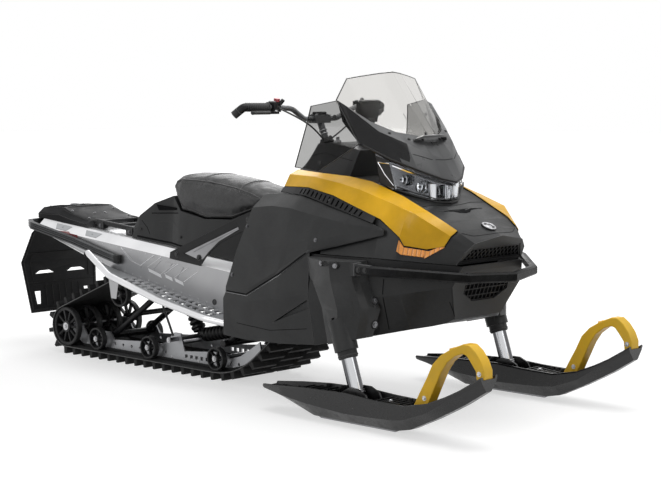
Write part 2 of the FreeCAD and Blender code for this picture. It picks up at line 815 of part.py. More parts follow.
def ski_section(x, half, keel, edge, rim):
    """Closed section of the ski: keel, flared side and raised rims round a sunk deck."""
    y = ski_stance / 2
    deck = deck_height(keel, edge, rim)
    keel_half = 0.3 * half
    row = [(keel_half, keel), (half - 6, edge), (half, rim - 6), (half - 3, rim), (half - 11, rim),
           (half - 16, deck), (keel_half, deck)]
    right = [V(x, y + dy, z) for dy, z in row]
    left = [V(x, y - dy, z) for dy, z in row[::-1]]
    return right + left


def make_ski():
    """Moulded ski with a pocket for the leg's foot, two saddle cheeks and ribs across its deck."""
    body = loft([ski_section(*stop) for stop in ski_stops])
    y = ski_stance / 2
    pin_x = ski_pin_x()
    pocket = Part.makeBox(150, 2 * saddle_half, 110, V(pin_x - 75, y - saddle_half, ski_pin_z - 38))
    cheek = [(pin_x - 78, 84), (pin_x + 88, 84), (pin_x + 62, 128), (pin_x + 20, 146), (pin_x - 20, 146),
             (pin_x - 62, 122)]
    cheeks = [slab_y(cheek, y + saddle_half, y + saddle_half + 8),
              slab_y(cheek, y - saddle_half - 8, y - saddle_half)]
    ribs = []
    for x in ski_rib_places:
        half = along([stop[:2] for stop in ski_stops], x) - 14
        ribs.append(Part.makeBox(6, 2 * half, 20, V(x, y - half, ski_deck(x) - 2)))
    pin = disc_y(pin_x, ski_pin_z, y, ski_pin_radius, 2 * saddle_half + 4)
    return fuse([body.cut(pocket)] + cheeks + ribs + [pin])


def make_ski_handle():
    """Bent loop that stands on the ski's deck behind the tip."""
    y = ski_stance / 2
    feet = [(x, ski_deck(x) + run_gap) for x in (1190, ski_tip_x - 2, ski_tip_x - 36, 1262)]
    outer = [(1232, 170), (1262, 222), (1290, 278), (1326, 314), (1374, 342), (1430, 366), (1458, 366),
             (1486, 346), (1512, 314), (ski_tip_x - 3, 280)]
    inner = [(1488, 276), (1464, 306), (1446, 326), (1428, 331), (1396, 320), (1358, 292), (1330, 252),
             (1308, 206), (1284, 156)]
    return slab_y([feet[0]] + outer + feet[1:3] + inner + [feet[3]], y - handle_half, y + handle_half)


def make_ski_runner():
    """Steel wear bar under the keel."""
    y = ski_stance / 2
    outline = [(700, 9.7), (1118, 9.7), (1100, 0), (720, 0)]
    return slab_y(outline, y - 6, y + 6)


def make_strut_housing():
    """Faceted column round the sliding leg, with its lower swell, collar and the bumper's bracket."""
    top = [(600, housing_inner), (612, 430), (650, 458), (780, 490), (862, 456), (868, 424),
           (869, housing_inner)]
    middle = [(690, housing_inner), (700, 440), (722, 466), (832, 496), (908, 446), (924, 410),
              (930, housing_inner)]
    low = [(742, housing_low), (748, 446), (766, 478), (838, 500), (896, 462), (914, 430), (918, housing_low)]
    column = loft([[V(px, py, housing_top_z) for px, py in top],
                   [V(px + 10, py, 540) for px, py in top],
                   [V(px, py, 430) for px, py in middle],
                   [V(px, py, 286 + (px - 742) * 0.24) for px, py in low]])
    swell = rod(leg_point(276.0), leg_point(392.0), leg_radius + 17)
    collar = rod(leg_point(250.0), leg_point(300.0), leg_radius + 9)
    bore = rod(leg_point(200.0), leg_point(leg_top_z + 10), leg_radius + joint_clear)
    root = bumper_line[0]
    bracket = Part.makeBox(bracket_front - run_gap - 825, 44, 50, V(825, root.y - 22, root.z - 25))
    whole = fuse([column, swell, collar, bracket]).cut(bore).cut(pan_side(run_gap, -60.0))
    return max(whole.Solids, key=lambda piece: piece.Volume)


# Bodywork

# Station planes of the seam between the side panels, as (x, rake)
seam_stations = [(168.0, 0.285), (295.5, 0.25), (440.8, 0.1), (586.0, 0.0)]


def make_side_panel():
    """Large upper side panel."""
    stations = seam_stations + [(760.0, 0.0), (888.0, 0.0), (934.0, 0.0)]
    lines = [panel_top, panel_shoulder, panel_mid, panel_lip, panel_seam]
    return strip(lines, stations, 0.0, -wall)


def sunk(lines, stations, outline, depth):
    """Strip of body panel with one pocket pressed in, its outline seen from the side."""
    face = Part.Face(closed([V(x, 0, z) for x, z in outline]))
    pocket = face.extrude(V(0, 600, 0))
    rim = face.makeOffset2D(wall, 2).extrude(V(0, 600, 0))
    block = strip(lines, stations, 0.0, -depth - wall).common(rim)
    hollow = strip(lines, stations, 2.0, -depth).common(pocket)
    return fuse([strip(lines, stations, 0.0, -wall), block]).cut(hollow)


def make_lower_panel():
    """Lower rear side panel with its wedge recess."""
    seam = shifted(panel_seam, -panel_gap)
    stations = seam_stations + [(594.0, 0.0)]
    return sunk([seam, lower_wide, belly_edge], stations, wedge, wedge_depth)


# Station planes of the belly pan
belly_stations = [(594.8, 0.0), (760.0, 0.0), (900.0, 0.0), (1000.0, 0.0), (1080.0, 0.08), (1150.0, 0.2),
                  nose_station]


def pan_side(outside, inside):
    """Layer along the belly pan's side, from one distance off its face to another."""
    return strip([shifted(hood_edge, -hood_gap), lower_wide, belly_edge], belly_stations, outside, inside)


def make_belly_pan():
    """Bottom pan of the nose with its sides up to the bumper and its front with the intake's opening."""
    top = shifted(hood_edge, -hood_gap)
    lines = [belly_middle, belly_edge, lower_wide, top]
    sections = []
    for station in belly_stations:
        row = [meet(line, station) for line in lines]
        right = [V(p.x, -p.y, p.z) for p in row[1:]]
        full = right[::-1] + row
        outer = offset_row(full[::-1], station, 0.0)
        inner = offset_row(full[::-1], station, -wall)
        sections.append(outer + inner[::-1])
    front = Part.Face(closed(full)).extrude(V(nose_wall, 0, 0))
    opening = nose_plate(intake_opening, nose_station, -20, 40)
    return fuse([loft(sections), front]).cut(opening)


# Body lines and station planes of the hood
hood_lines = [hood_middle, accent_inner, accent_crease, accent_outer, hood_edge]
hood_stations = [(640.0, 0.0), (760.0, 0.0), (900.0, 0.05), (984.0, 0.1), (1004.0, 0.2), (1085.0, 0.3),
                 (1150.0, 0.45), hood_station]


def make_hood():
    """Nose hood between and under the accent panels, closed in front round the grille."""
    shell = arch(hood_lines, hood_stations, 0.0, -wall)
    half = [meet(line, hood_station) for line in hood_lines]
    face = Part.Face(closed([V(p.x, -p.y, p.z) for p in half[:0:-1]] + half))
    opening = nose_plate(grille_opening, hood_station, -20, 40)
    return fuse([shell, face.extrude(V(nose_wall, 0, 0))]).cut(opening)


def make_accent():
    """Folded coloured strip along the hood's side."""
    stations = [(285.0, 0.1), (480.0, 0.0)] + hood_stations[:6] + [(1140.0, 0.4)]
    return strip([accent_inner, accent_crease, accent_outer], stations, accent_thick + run_gap, run_gap)


def make_side_vent():
    """Black louvre strip between the accent and the side panel, with a row of slanted slots."""
    stations = [(300.0, 0.0), (480.0, 0.0), (640.0, 0.0), (760.0, 0.0), (880.0, 0.0)]
    low_accent = shifted(accent_outer, -2 * panel_gap, run_gap)
    high_panel = shifted(panel_top, panel_gap)
    lines = [low_accent, high_panel]
    field = strip([between(lines, stations, 0.16), between(lines, stations, 0.84)], stations, 20.0, -20.0)
    slots = []
    for index in range(slat_count):
        x = slat_start + index * slat_pitch
        slots.append(slab_z([(x, 360), (x + 9, 360), (x + 33, 250), (x + 24, 250)], 700, 900))
    return strip(lines, stations, wall + run_gap, run_gap).cut(Part.makeCompound(slots).common(field))


def between(lines, stations, share):
    """Line that keeps one share of the way from a first body line to a second."""
    first, second = lines
    return [meet(first, station) * (1 - share) + meet(second, station) * share for station in stations]


def make_marker():
    """Amber side marker on the hood under the accent's front end."""
    stations = hood_stations[3:6]
    lines = [accent_outer, hood_edge]
    high = between(lines, stations, 0.12)
    low = between(lines, stations, 0.62)
    return strip([high, low], stations, accent_thick, run_gap)


def make_console():
    """Centre cover from the seat nose up to the steering post, between the accents."""
    def ring(x, half_low, z_low, half_top, z_top):
        """Section of the nose with straight sides."""
        row = [V(x, half_low, z_low), V(x, half_top, z_top)]
        return row + [V(p.x, -p.y, p.z) for p in row[::-1]]

    nose = loft([ring(62.4, 130, 700, 110, 776), ring(310, 136, 856, 136, 800)])
    bore = rod(post_axis_point(-60.0), post_axis_point(240.0), post_radius + joint_clear)
    return fuse([console_pod(0.0), nose]).cut(bore)


def console_pod(grow):
    """Raised middle of the console, grown upwards by a gap."""
    sections = []
    for x, half_top, z_top in ((304, 120, 934), (346, 92, 1034), (420, 96, 1040), (600, 150, 1022),
                               (hood_stations[0][0] - panel_gap, 160, 1016)):
        edge = meet(accent_inner, (x, 0.0))
        row = [V(x, edge.y - 30, edge.z - 70), V(x, edge.y - panel_gap, edge.z - 6),
               V(x, edge.y - panel_gap, edge.z + 2 + grow), V(x, half_top + grow, z_top + grow)]
        sections.append(row + [V(p.x, -p.y, p.z) for p in row[::-1]])
    return loft(sections)


def post_axis_point(distance):
    """Point on the steering post's axis."""
    rake = math.radians(post_rake)
    return post_foot + V(-math.sin(rake), 0, math.cos(rake)) * distance


# Visor outline by distance from the middle: front edge, crest, windshield foot and underside
visor_rows = [(0.0, (1002, 893), (940, 985), (868, 1072), (880, 905)),
              (60.0, (982, 908), (928, 1000), (856, 1076), (866, 912)),
              (140.0, (926, 944), (866, 1048), (808, 1092), (810, 946)),
              (205.0, (846, 984), (780, 1094), (742, 1130), (740, 1016)),
              (262.0, (728, 1048), (652, 1196), (612, 1214), (640, 1130))]

# Windshield's top edge and the headlamp's feet as (x, z), reflector mouths as (x, y, z, radius)
windshield_tops = [(662, 1327), (652, 1321), (628, 1310), (607, 1300), (604, 1216)]
lamp_feet = [(972, 822), (956, 826), (906, 852), (868, 878)]
reflectors = [(924, 36, 862, 26), (906, 96, 880, 26), (858, 152, 908, 22)]


def mirrored(rows):
    """Sections from the right side to the left, from those of the left half."""
    return [[V(p.x, -p.y, p.z) for p in row] for row in rows[:0:-1]] + rows


def make_visor():
    """Pointed shield over the headlamp, with two arms for the windshield and a low air bridge."""
    shield = loft(mirrored([[V(x, y, z) for x, z in points] for y, *points in visor_rows]))
    half = [V(860, 92, 1060), V(884, 62, 1074), V(898, 0, 1076)]
    bridge = bar([V(p.x, -p.y, p.z) for p in half[:2]] + half[::-1], [(11, -5), (11, 3), (-11, 5), (-11, -5)])
    return fuse([shield, bridge])


def make_windshield():
    """Clear creased screen that stands behind the visor's upper edge."""
    half = []
    for (y, _, _, foot, _), top in zip(visor_rows, windshield_tops):
        back = foot[0] - run_gap - screen_thick
        half.append([V(back, y, foot[1] - 14), V(back + screen_thick, y, foot[1] - 14),
                     V(top[0] + screen_thick, y, top[1]), V(top[0], y, top[1])])
    return loft(mirrored(half))


def make_side_screen():
    """Smoked flat screen that flares back from the windshield's arm."""
    (arm_y, low, _, high, _) = visor_rows[-1]
    lean = (low[0] - high[0]) / (high[1] - low[1])

    def place(x, z):
        """Point of the flared screen from its side view."""
        return V(x, arm_y + run_gap + 0.2 * (low[0] - (z - low[1]) * lean - x), z)

    edge = [(low[0] - (z - low[1]) * lean, z) for z in (low[1] - 2, high[1] - 2)]
    outline = edge + [(497, 1190), (485, 1118), (450, 950), (560, 935)]
    return Part.Face(closed([place(x, z) for x, z in outline])).extrude(V(0, screen_thick, 0))


def make_instrument():
    """Display on a stem over the console."""
    stem = slab_y([(498, 1025), (546, 1020), (556, 1140), (528, 1140)], -22, 22)
    display = slab_y([(512, 1126), (532, 1122), (552, 1208), (534, 1214)], -62, 62)
    shape = fuse([stem, display])
    return shape.cut(console_pod(run_gap))


def lamp_rows():
    """Upper and lower front points and upper and lower back points of the headlamp, row by row."""
    drop = V(0, 0, 2 * run_gap)
    rows = []
    for (y, front, _, _, under), foot in zip(visor_rows, lamp_feet):
        lip = V(front[0], y, front[1])
        root = V(under[0], y, under[1])
        high = lip * 0.86 + root * 0.14 - drop
        deep = lip * 0.2 + root * 0.8 - drop
        rows.append((high, V(foot[0], y, foot[1] - 6), V(foot[0] - 80, y, foot[1] + 12), deep))
    return rows


def make_lamp_lens():
    """Clear cover over the front of the headlamp."""
    back = V(lens_thick, 0, 0)
    half = [[high, low, low - back, high - back] for high, low, _, _ in lamp_rows()]
    bed = arch(hood_lines, hood_stations, run_gap, -80.0)
    return solid(loft(mirrored(half)).cut(bed))


def make_headlamp():
    """Headlamp body behind the lens, with its reflector bowls."""
    back = V(lens_thick + reflector_room, 0, 0)
    half = [[high - back, low - back, behind, deep] for high, low, behind, deep in lamp_rows()]
    lamp = loft(mirrored(half))
    bowls = []
    for x, y, z, radius in reflectors:
        bowl = Part.makeCone(radius * 0.3, radius, 44, V(x - 44, y, z), V(1, 0, 0))
        mouth = Part.makeCylinder(radius, 60, V(x, y, z), V(1, 0, 0))
        bowls += [bowl, mouth, flip(bowl), flip(mouth)]
    bed = arch(hood_lines, hood_stations, run_gap, -80.0)
    return solid(lamp.cut(Part.makeCompound(bowls)).cut(bed))


def nose_plate(points, station, start, depth):
    """Plate along a raked station plane, from its outline in (y, z), starting ahead of the plane."""
    x_plane, rake = station
    outline = [V(x_plane + start + rake * (z - rake_height), y, z) for y, z in points]
    return Part.Face(closed(outline)).extrude(V(depth, 0, 0))


def shrunk(points, step):
    """Outline in (y, z) with every side moved inwards."""
    wire = closed([V(0, y, z) for y, z in points])
    return [(vertex.Y, vertex.Z) for vertex in wire.makeOffset2D(-step, 2).OrderedVertexes]


def make_grille():
    """Front grille: a framed lattice of crossing bars, sunk in the hood's front."""
    outline = shrunk(grille_opening, run_gap)
    window = shrunk(grille_opening, 7.0)
    grown = shrunk(grille_opening, 5.0)
    frame = nose_plate(outline, hood_station, -6, 9).cut(nose_plate(window, hood_station, -10, 20))
    high, low = 666, 610
    bars = []
    for index in range(-8, 9):
        y = index * grille_pitch
        for lean in (-19, 19):
            upper, lower = y + lean, y - lean
            slat = [(upper + 2.5, high), (upper - 2.5, high), (lower - 2.5, low), (lower + 2.5, low)]
            bars.append(nose_plate(slat, hood_station, -5, 6))
    lattice = fuse(bars).common(nose_plate(grown, hood_station, -10, 20))
    return fuse([frame, lattice])


def make_lower_grille():
    """Intake grid in the belly pan's front."""
    outline = shrunk(intake_opening, run_gap)
    window = shrunk(intake_opening, 5.0)
    grown = shrunk(intake_opening, 3.0)
    frame = nose_plate(outline, nose_station, -4, 6).cut(nose_plate(window, nose_station, -10, 20))
    bars = []
    for index in range(-5, 6):
        y = index * intake_pitch
        bars.append(nose_plate([(y + 2, 530), (y - 2, 530), (y - 6, 448), (y - 2, 448)], nose_station, -3, 4))
    for z in (474, 500):
        level = [(140, z + 2), (140, z - 2), (-140, z - 2), (-140, z + 2)]
        bars.append(nose_plate(level, nose_station, -3, 4))
    grid = fuse(bars).common(nose_plate(grown, nose_station, -10, 20))
    return fuse([frame, grid])


def make_front_bumper():
    """Tall chamfered bumper bar with a pointed nose."""
    half = [bumper_line[0] + V(run_gap, 0, 0)] + bumper_line[1:]
    return bar([V(p.x, -p.y, p.z) for p in half[:-1]] + half[::-1], bumper_section)


def make_engine():
    """Engine as one plain block on two feet that stand on the belly pan."""
    block = Part.makeBox(250, 340, 260, V(600, -170, 340))
    keel = [meet(belly_middle, station) for station in belly_stations]
    feet = []
    for x in (620.0, 820.0):
        floor = along([(point.x, point.z) for point in keel], x + 8) + wall + 2 * run_gap
        feet.append(Part.makeBox(16, 16, 341 - floor, V(x - 8, -8, floor)))
    return fuse([block] + feet)


def make_front_frame():
    """Tubular frame from the tunnel's front up to the console and out to the nose's sides."""
    pieces = []
    x_foot, y_foot = tunnel_front_x - 26, 150.0
    knot = V(tunnel_front_x, 52, 833)
    for side in (-1, 1):
        foot = V(x_foot, side * y_foot, tunnel_top(x_foot) + 28)
        top = V(knot.x, side * knot.y, knot.z)
        pad = V(x_foot - 20, side * y_foot - 18, tunnel_top(x_foot - 20) + run_gap)
        pieces.append(Part.makeBox(40, 36, 34, pad))
        pieces.append(rod(foot, top, 15))
        pieces.append(rod(top, V(740, side * 396, 592), 15))
        pieces.append(rod(foot, V(640, side * 408, 450), 15))
    pieces.append(rod(V(knot.x, -58, knot.z), V(knot.x, 58, knot.z), 15))
    frame = fuse(pieces)
    skin = pan_side(60.0, -wall - run_gap)
    return frame.cut(skin).cut(flip(skin))


# Seam between the seat's base and its cushion, as (x, z)
seat_line = [(-524.0, 780.0), (-462.0, 716.0), (-300.0, 690.0), (-130.0, 696.0), (0.0, 744.0), (62.0, 776.0)]


def make_seat_base():
    """Storage base under the seat, on the tunnel."""
    def section(x, z_top, half):
        """Section of the base from the tunnel's top up to the seat."""
        base = tunnel_top(x) + run_gap
        row = [V(x, half + 14, base), V(x, half + 8, (base + z_top) / 2), V(x, half, z_top)]
        return row + [V(p.x, -p.y, p.z) for p in row[::-1]]

    sections = [section(-776, 634, 138), section(-738, 682, 138), section(-640, 742, 132)]
    for (x, z), half in zip(seat_line, (120, 134, 140, 140, 126, 110)):
        sections.append(section(x, z, half))
    return loft(sections)


def make_seat_cushion():
    """Long padded seat with a raised tail and a wedge nose."""
    def section(x, z_low, z_top, half):
        """Section of the cushion with a rounded top edge."""
        middle = (z_low + z_top) / 2
        row = [V(x, half - 12, z_low), V(x, half, middle), V(x, half - 14, z_top - 26),
               V(x, half * 0.55, z_top - 4), V(x, 0, z_top)]
        return row + [V(p.x, -p.y, p.z) for p in row[-2::-1]]

    sections = [section(-546, 806, 846, 70)]
    for (x, z), (z_top, half) in zip(seat_line, ((874, 122), (884, 146), (878, 150), (858, 146), (838, 122),
                                                 (818, 70))):
        sections.append(section(x, z + run_gap, z_top, half))
    return loft(sections)


def make_side_frame():
    """Bracket and knee panel between the tunnel and the body."""
    bracket = [(-440, 512), (-436, 541), (-370, 568), (-239, 620), (-12, 711), (43, 736), (150, 760),
               (120, 690), (12, 657), (-112, 603), (-189, 550), (-240, 494)]
    field = [(-344, 541), (-285, 567), (0, 680), (6, 667), (-119, 609), (-182, 561), (-224, 522), (-253, 519)]
    knee = [(-186, 545), (-32, 533), (110, 528), (140, 680), (60, 690), (-112, 615)]
    low = tunnel_half + run_gap
    plate = slab_y(bracket, low, low + bracket_thick)
    recess = slab_y(field, low + bracket_thick / 2, low + bracket_thick + 1)
    return fuse([plate.cut(recess), slab_y(knee, low, low + knee_thick)])


# Handlebar

def bar_tube(radius):
    """Bent handlebar tube of one radius."""
    top = post_axis_point(150.0)
    half = [V(238, 398, 1184), V(250, 285, 1183), V(286, 188, 1178), V(top.x + 4, 96, top.z + 4)]
    points = [V(p.x, -p.y, p.z) for p in half] + half[::-1]
    return tube(points, radius, 60.0)


def make_handlebar():
    """Steering post, riser and bent bar."""
    top = post_axis_point(150.0)
    post = rod(post_axis_point(-20.0), top, post_radius)
    clamp = Part.makeBox(44, 90, 34, V(top.x - 22, -45, top.z - 14))
    return fuse([post, clamp, bar_tube(bar_radius)])


def make_grip():
    """Rubber grip with a hooked end."""
    body = tube([V(250, 287, 1183), V(239, 412, 1184), V(204, 432, 1152)], grip_radius, 18.0)
    start = V(238, 398.3, 1184)
    hole = rod(start, start + (V(250, 285, 1183) - V(238, 398, 1184)) * 1.3, bar_radius + run_gap)
    return body.cut(hole)


def make_controls():
    """Switch blocks and levers on both ends of the bar."""
    block = Part.makeBox(44, 40, 40, V(232, 238, 1164))
    lever = slab_z([(272, 262), (282, 262), (272, 392), (262, 392)], 1156, 1168)
    neck = Part.makeBox(30, 16, 14, V(252, 254, 1156))
    return both(fuse([block, lever, neck]).cut(bar_tube(bar_radius + run_gap)))


def make_cables():
    """Throttle and brake cables from the blocks to the post."""
    cables = []
    for side in (-1, 1):
        points = [V(279.5, side * 250, 1178), V(312, side * 200, 1150), V(322, side * 120, 1112),
                  V(316, side * 54, 1070), V(306, side * 18.5, 1046)]
        cables.append(tube(points, 3.5, cable_bend))
    return Part.makeCompound(cables)


def make_wheels():
    """Idler, bogie and carrier wheels of the skid."""
    return Part.makeCompound([make_idler_wheels(), make_bogie_wheels(), make_carrier_wheels()])


def make_red_lamps():
    """Side reflectors and the tail lamp."""
    return Part.makeCompound([make_reflectors(), make_tail_light()])


# Makers by node: pieces in the middle, pairs that share a node, and pieces with a node for each side
single = {
    "track": make_track, "skid_wheels": make_wheels, "drive_axle": make_drive_axle, "rails": make_rails,
    "sliders": make_sliders, "wheel_axles": make_axles, "skid_arms": make_skid_arms,
    "skid_springs": make_springs, "tunnel": make_tunnel, "snow_flap": make_snow_flap,
    "rear_bumper": make_rear_bumper, "red_lamps": make_red_lamps, "rear_deck": make_rear_deck,
    "cargo_rack": make_cargo_rack, "belly_pan": make_belly_pan, "hood": make_hood,
    "console": make_console, "visor": make_visor, "windshield": make_windshield,
    "headlamp": make_headlamp, "lamp_lens": make_lamp_lens, "grille": make_grille,
    "lower_grille": make_lower_grille, "front_bumper": make_front_bumper, "engine": make_engine,
    "instrument": make_instrument, "front_frame": make_front_frame, "seat_base": make_seat_base,
    "seat_cushion": make_seat_cushion, "handlebar": make_handlebar, "controls": make_controls,
    "control_cables": make_cables}
paired = {
    "side_panels": make_side_panel, "lower_panels": make_lower_panel, "accent_panels": make_accent,
    "side_vents": make_side_vent, "marker_lamps": make_marker, "side_screens": make_side_screen,
    "strut_housings": make_strut_housing, "running_boards": make_running_board,
    "board_rails": make_board_rail, "side_frames": make_side_frame, "grips": make_grip}
sided = {"leg": make_leg, "ski": make_ski, "ski_handle": make_ski_handle, "ski_runner": make_ski_runner}

nodes = {name: make() for name, make in single.items()}
for name, make in paired.items():
    nodes[name] = both(make())
for name, make in sided.items():
    left = make()
    nodes[name + "_l"] = left
    nodes[name + "_r"] = flip(left)

os.makedirs("parts", exist_ok=True)
print("cable bend radius %.0f mm" % cable_bend)
for name, shape in nodes.items():
    if not shape.isValid():
        print("invalid", name)
    shape.exportStep("parts/%s.step" % name)
    box = shape.BoundBox
    print("%-18s solids %d x %.0f..%.0f y %.0f..%.0f z %.0f..%.0f" % (
        name, len(shape.Solids), box.XMin, box.XMax, box.YMin, box.YMax, box.ZMin, box.ZMax))
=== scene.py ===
import logging
import math
from dataclasses import dataclass
from enum import Enum
from functools import cache
from typing import Callable, ClassVar, Iterable, Sequence

import bmesh
import bpy
from mathutils import Matrix, Vector
from mathutils.bvhtree import BVHTree


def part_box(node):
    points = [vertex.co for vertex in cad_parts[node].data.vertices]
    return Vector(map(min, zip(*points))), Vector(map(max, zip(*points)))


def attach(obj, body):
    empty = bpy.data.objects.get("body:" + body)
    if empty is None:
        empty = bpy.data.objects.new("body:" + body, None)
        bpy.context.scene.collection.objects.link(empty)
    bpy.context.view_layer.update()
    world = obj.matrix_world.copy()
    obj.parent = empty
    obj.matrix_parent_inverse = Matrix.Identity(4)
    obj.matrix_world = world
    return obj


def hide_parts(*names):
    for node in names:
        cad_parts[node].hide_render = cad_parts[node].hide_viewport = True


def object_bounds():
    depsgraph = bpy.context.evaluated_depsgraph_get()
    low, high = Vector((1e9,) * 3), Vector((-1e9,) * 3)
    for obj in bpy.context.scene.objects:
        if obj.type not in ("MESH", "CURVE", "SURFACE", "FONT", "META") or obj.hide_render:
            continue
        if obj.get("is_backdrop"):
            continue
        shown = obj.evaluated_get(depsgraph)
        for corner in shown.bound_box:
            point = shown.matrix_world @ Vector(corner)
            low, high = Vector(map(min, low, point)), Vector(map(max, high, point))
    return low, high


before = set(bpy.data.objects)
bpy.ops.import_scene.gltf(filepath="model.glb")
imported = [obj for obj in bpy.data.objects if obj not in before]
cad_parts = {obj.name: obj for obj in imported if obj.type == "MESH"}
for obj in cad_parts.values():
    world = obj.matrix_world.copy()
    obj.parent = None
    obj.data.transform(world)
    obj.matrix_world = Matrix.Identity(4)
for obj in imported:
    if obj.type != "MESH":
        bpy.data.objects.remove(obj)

log = logging.getLogger("snowmobile")

Colour = tuple[float, float, float]
Point = tuple[float, float, float]
Stop = tuple[float, float]
Spot = tuple[Vector, Vector]
Line = tuple[Stop, ...]
Node = bpy.types.Node
Socket = bpy.types.NodeSocket

WHITE: Colour = (1.0, 1.0, 1.0)
X_AXIS: Point = (1.0, 0.0, 0.0)
Y_AXIS: Point = (0.0, 1.0, 0.0)
Z_AXIS: Point = (0.0, 0.0, 1.0)
SIDE_START: float = 2.0
FAR_START: float = 3.0
FINE_SEAM: float = 0.0011
POST_RAKE: float = math.radians(24.0)
POST_FOOT: Vector = Vector((0.325, 0.0, 0.992))
POST_WAY: Vector = Vector((-math.sin(POST_RAKE), 0.0, math.cos(POST_RAKE)))


class Body(Enum):
    """The moving bodies of the machine that pieces ride on."""

    CHASSIS = "chassis"
    BAR = "steering_bar"
    SPINDLE_L = "spindle_l"
    SPINDLE_R = "spindle_r"
    SKI_L = "ski_set_l"
    SKI_R = "ski_set_r"


class View(Enum):
    """Sides that a detail is laid on a skin from, with the way towards the skin."""

    SIDE = (0.0, -1.0, 0.0)
    TOP = (0.0, 0.0, -1.0)
    AHEAD = (-1.0, 0.0, 0.0)
    BEHIND = (1.0, 0.0, 0.0)

    def start(self, first: float, second: float) -> Vector:
        """Return the far point that a look along the way starts from.

        Args:
            first: x, or y for a look from ahead or behind.
            second: z, or y for a look from the top.

        Returns:
            The point, some metres outside the skin.
        """
        way = Vector(self.value)
        if self is View.SIDE:
            return Vector((first, 0.0, second)) - way * SIDE_START
        place = Vector((first, second, 0.0)) if way.z else Vector((0.0, first, second))
        return place - way * FAR_START


# Shared surface effects

class NodeSheet:
    """A node tree with short ways to add and join nodes."""

    def __init__(self, tree: bpy.types.NodeTree) -> None:
        """Keep the tree that nodes are added to."""
        self.tree = tree

    def feed(self, socket: Socket, value: object) -> None:
        """Link an input socket, or set its value.

        Args:
            socket: the input socket.
            value: an output socket, a number, a vector, or a colour without its alpha.
        """
        if isinstance(value, Socket):
            self.tree.links.new(value, socket)
        else:
            socket.default_value = (*value, 1.0) if socket.type == "RGBA" else value

    def add(self, kind: str, **values: object) -> Node:
        """Add one node and set its attributes and inputs.

        Args:
            kind: the node's type, without the words before it.
            values: attributes, or the values of inputs by name with underscores for spaces.

        Returns:
            The new node.
        """
        node = self.tree.nodes.new("ShaderNode" + kind)
        for name, value in values.items():
            if hasattr(node, name):
                setattr(node, name, value)
            else:
                self.feed(node.inputs[name.replace("_", " ")], value)
        return node

    def coordinates(self, kind: str = "Object") -> Socket:
        """Return the socket of the object's own coordinates or normals."""
        return self.add("TexCoord").outputs[kind]

    def ramp(self, source: Socket, low: float, high: float) -> Socket:
        """Spread the values between two limits over the range from 0 to 1.

        Args:
            source: the value's socket.
            low: the value that becomes 0.
            high: the value that becomes 1.

        Returns:
            The socket of the spread value.
        """
        return self.add("MapRange", clamp=True, From_Min=low, From_Max=high, Value=source).outputs["Result"]

    def math(self, action: str, *values: object) -> Socket:
        """Work out one value from sockets and numbers.

        Args:
            action: the name of the operation.
            values: its sockets or numbers.

        Returns:
            The socket of the result.
        """
        node = self.add("Math", operation=action)
        for socket, value in zip(node.inputs, values):
            self.feed(socket, value)
        return node.outputs["Value"]

    def mix(self, share: object, first: object, second: object) -> Socket:
        """Blend two colours by a share.

        Args:
            share: a socket or a number from 0 to 1.
            first: the colour, or its socket, at share 0.
            second: the colour, or its socket, at share 1.

        Returns:
            The socket of the blended colour.
        """
        node = self.add("Mix", data_type="RGBA")
        for index, value in ((0, share), (6, first), (7, second)):
            self.feed(node.inputs[index], value)
        return node.outputs[2]

    def cover(self, tone: object, effect: Socket, share: float, colour: Colour) -> Socket:
        """Lay a colour over a tone where an effect shows.

        Args:
            tone: the colour below, or its socket.
            effect: the socket of the effect, from 0 to 1.
            share: how much of the colour shows where the effect is full.
            colour: the colour above.

        Returns:
            The socket of the covered colour.
        """
        return self.mix(self.math("MULTIPLY", effect, share), tone, colour)

    def bump(self, height: Socket, depth: float, strength: float = 1.0) -> Socket:
        """Raise the surface by a height value.

        Args:
            height: the height's socket.
            depth: the relief in metres.
            strength: the share of the relief that shows.

        Returns:
            The socket of the raised normal.
        """
        return self.add("Bump", Distance=depth, Strength=strength, Height=height).outputs["Normal"]

    def seen_rays(self) -> Socket:
        """Tell rays that show the backdrop from rays that only light the machine.

        Returns:
            A socket that is 1 for camera, transmission and glossy rays, and 0 for others.
        """
        path = self.add("LightPath").outputs
        seen = self.math("MAXIMUM", path["Is Camera Ray"], path["Is Transmission Ray"])
        return self.math("MAXIMUM", seen, path["Is Glossy Ray"])


class EffectGroup:
    """A shader node group with named sockets that several materials share."""

    name = "Effect"
    inputs: ClassVar[dict[str, float]] = {}
    outputs: ClassVar[tuple[str, ...]] = ()

    def group(self) -> bpy.types.NodeTree:
        """Build the group at its first use and return it.

        Returns:
            The node group.
        """
        found = bpy.data.node_groups.get(self.name)
        if found:
            return found
        tree = bpy.data.node_groups.new(self.name, "ShaderNodeTree")
        for name, value in self.inputs.items():
            tree.interface.new_socket(name, in_out="INPUT", socket_type="NodeSocketFloat").default_value = value
        for name in self.outputs:
            tree.interface.new_socket(name, in_out="OUTPUT", socket_type="NodeSocketFloat")
        entry, leave = tree.nodes.new("NodeGroupInput"), tree.nodes.new("NodeGroupOutput")
        sheet = NodeSheet(tree)
        for name, socket in zip(self.outputs, self.fill(sheet, entry)):
            sheet.feed(leave.inputs[name], socket)
        return tree

    def fill(self, sheet: NodeSheet, entry: Node) -> Sequence[Socket]:
        """Lay out the nodes between the group's input and output.

        Args:
            sheet: the group's node sheet.
            entry: the node that gives the inputs.

        Returns:
            The sockets of the outputs, in their order.
        """
        raise NotImplementedError

    def place(self, sheet: NodeSheet, **values: float) -> bpy.types.NodeOutputs:
        """Put the group into a material with its own values.

        Args:
            sheet: the material's node sheet.
            values: input values by name with underscores for spaces.

        Returns:
            The group's outputs by name.
        """
        return sheet.add("Group", node_tree=self.group(), **values).outputs


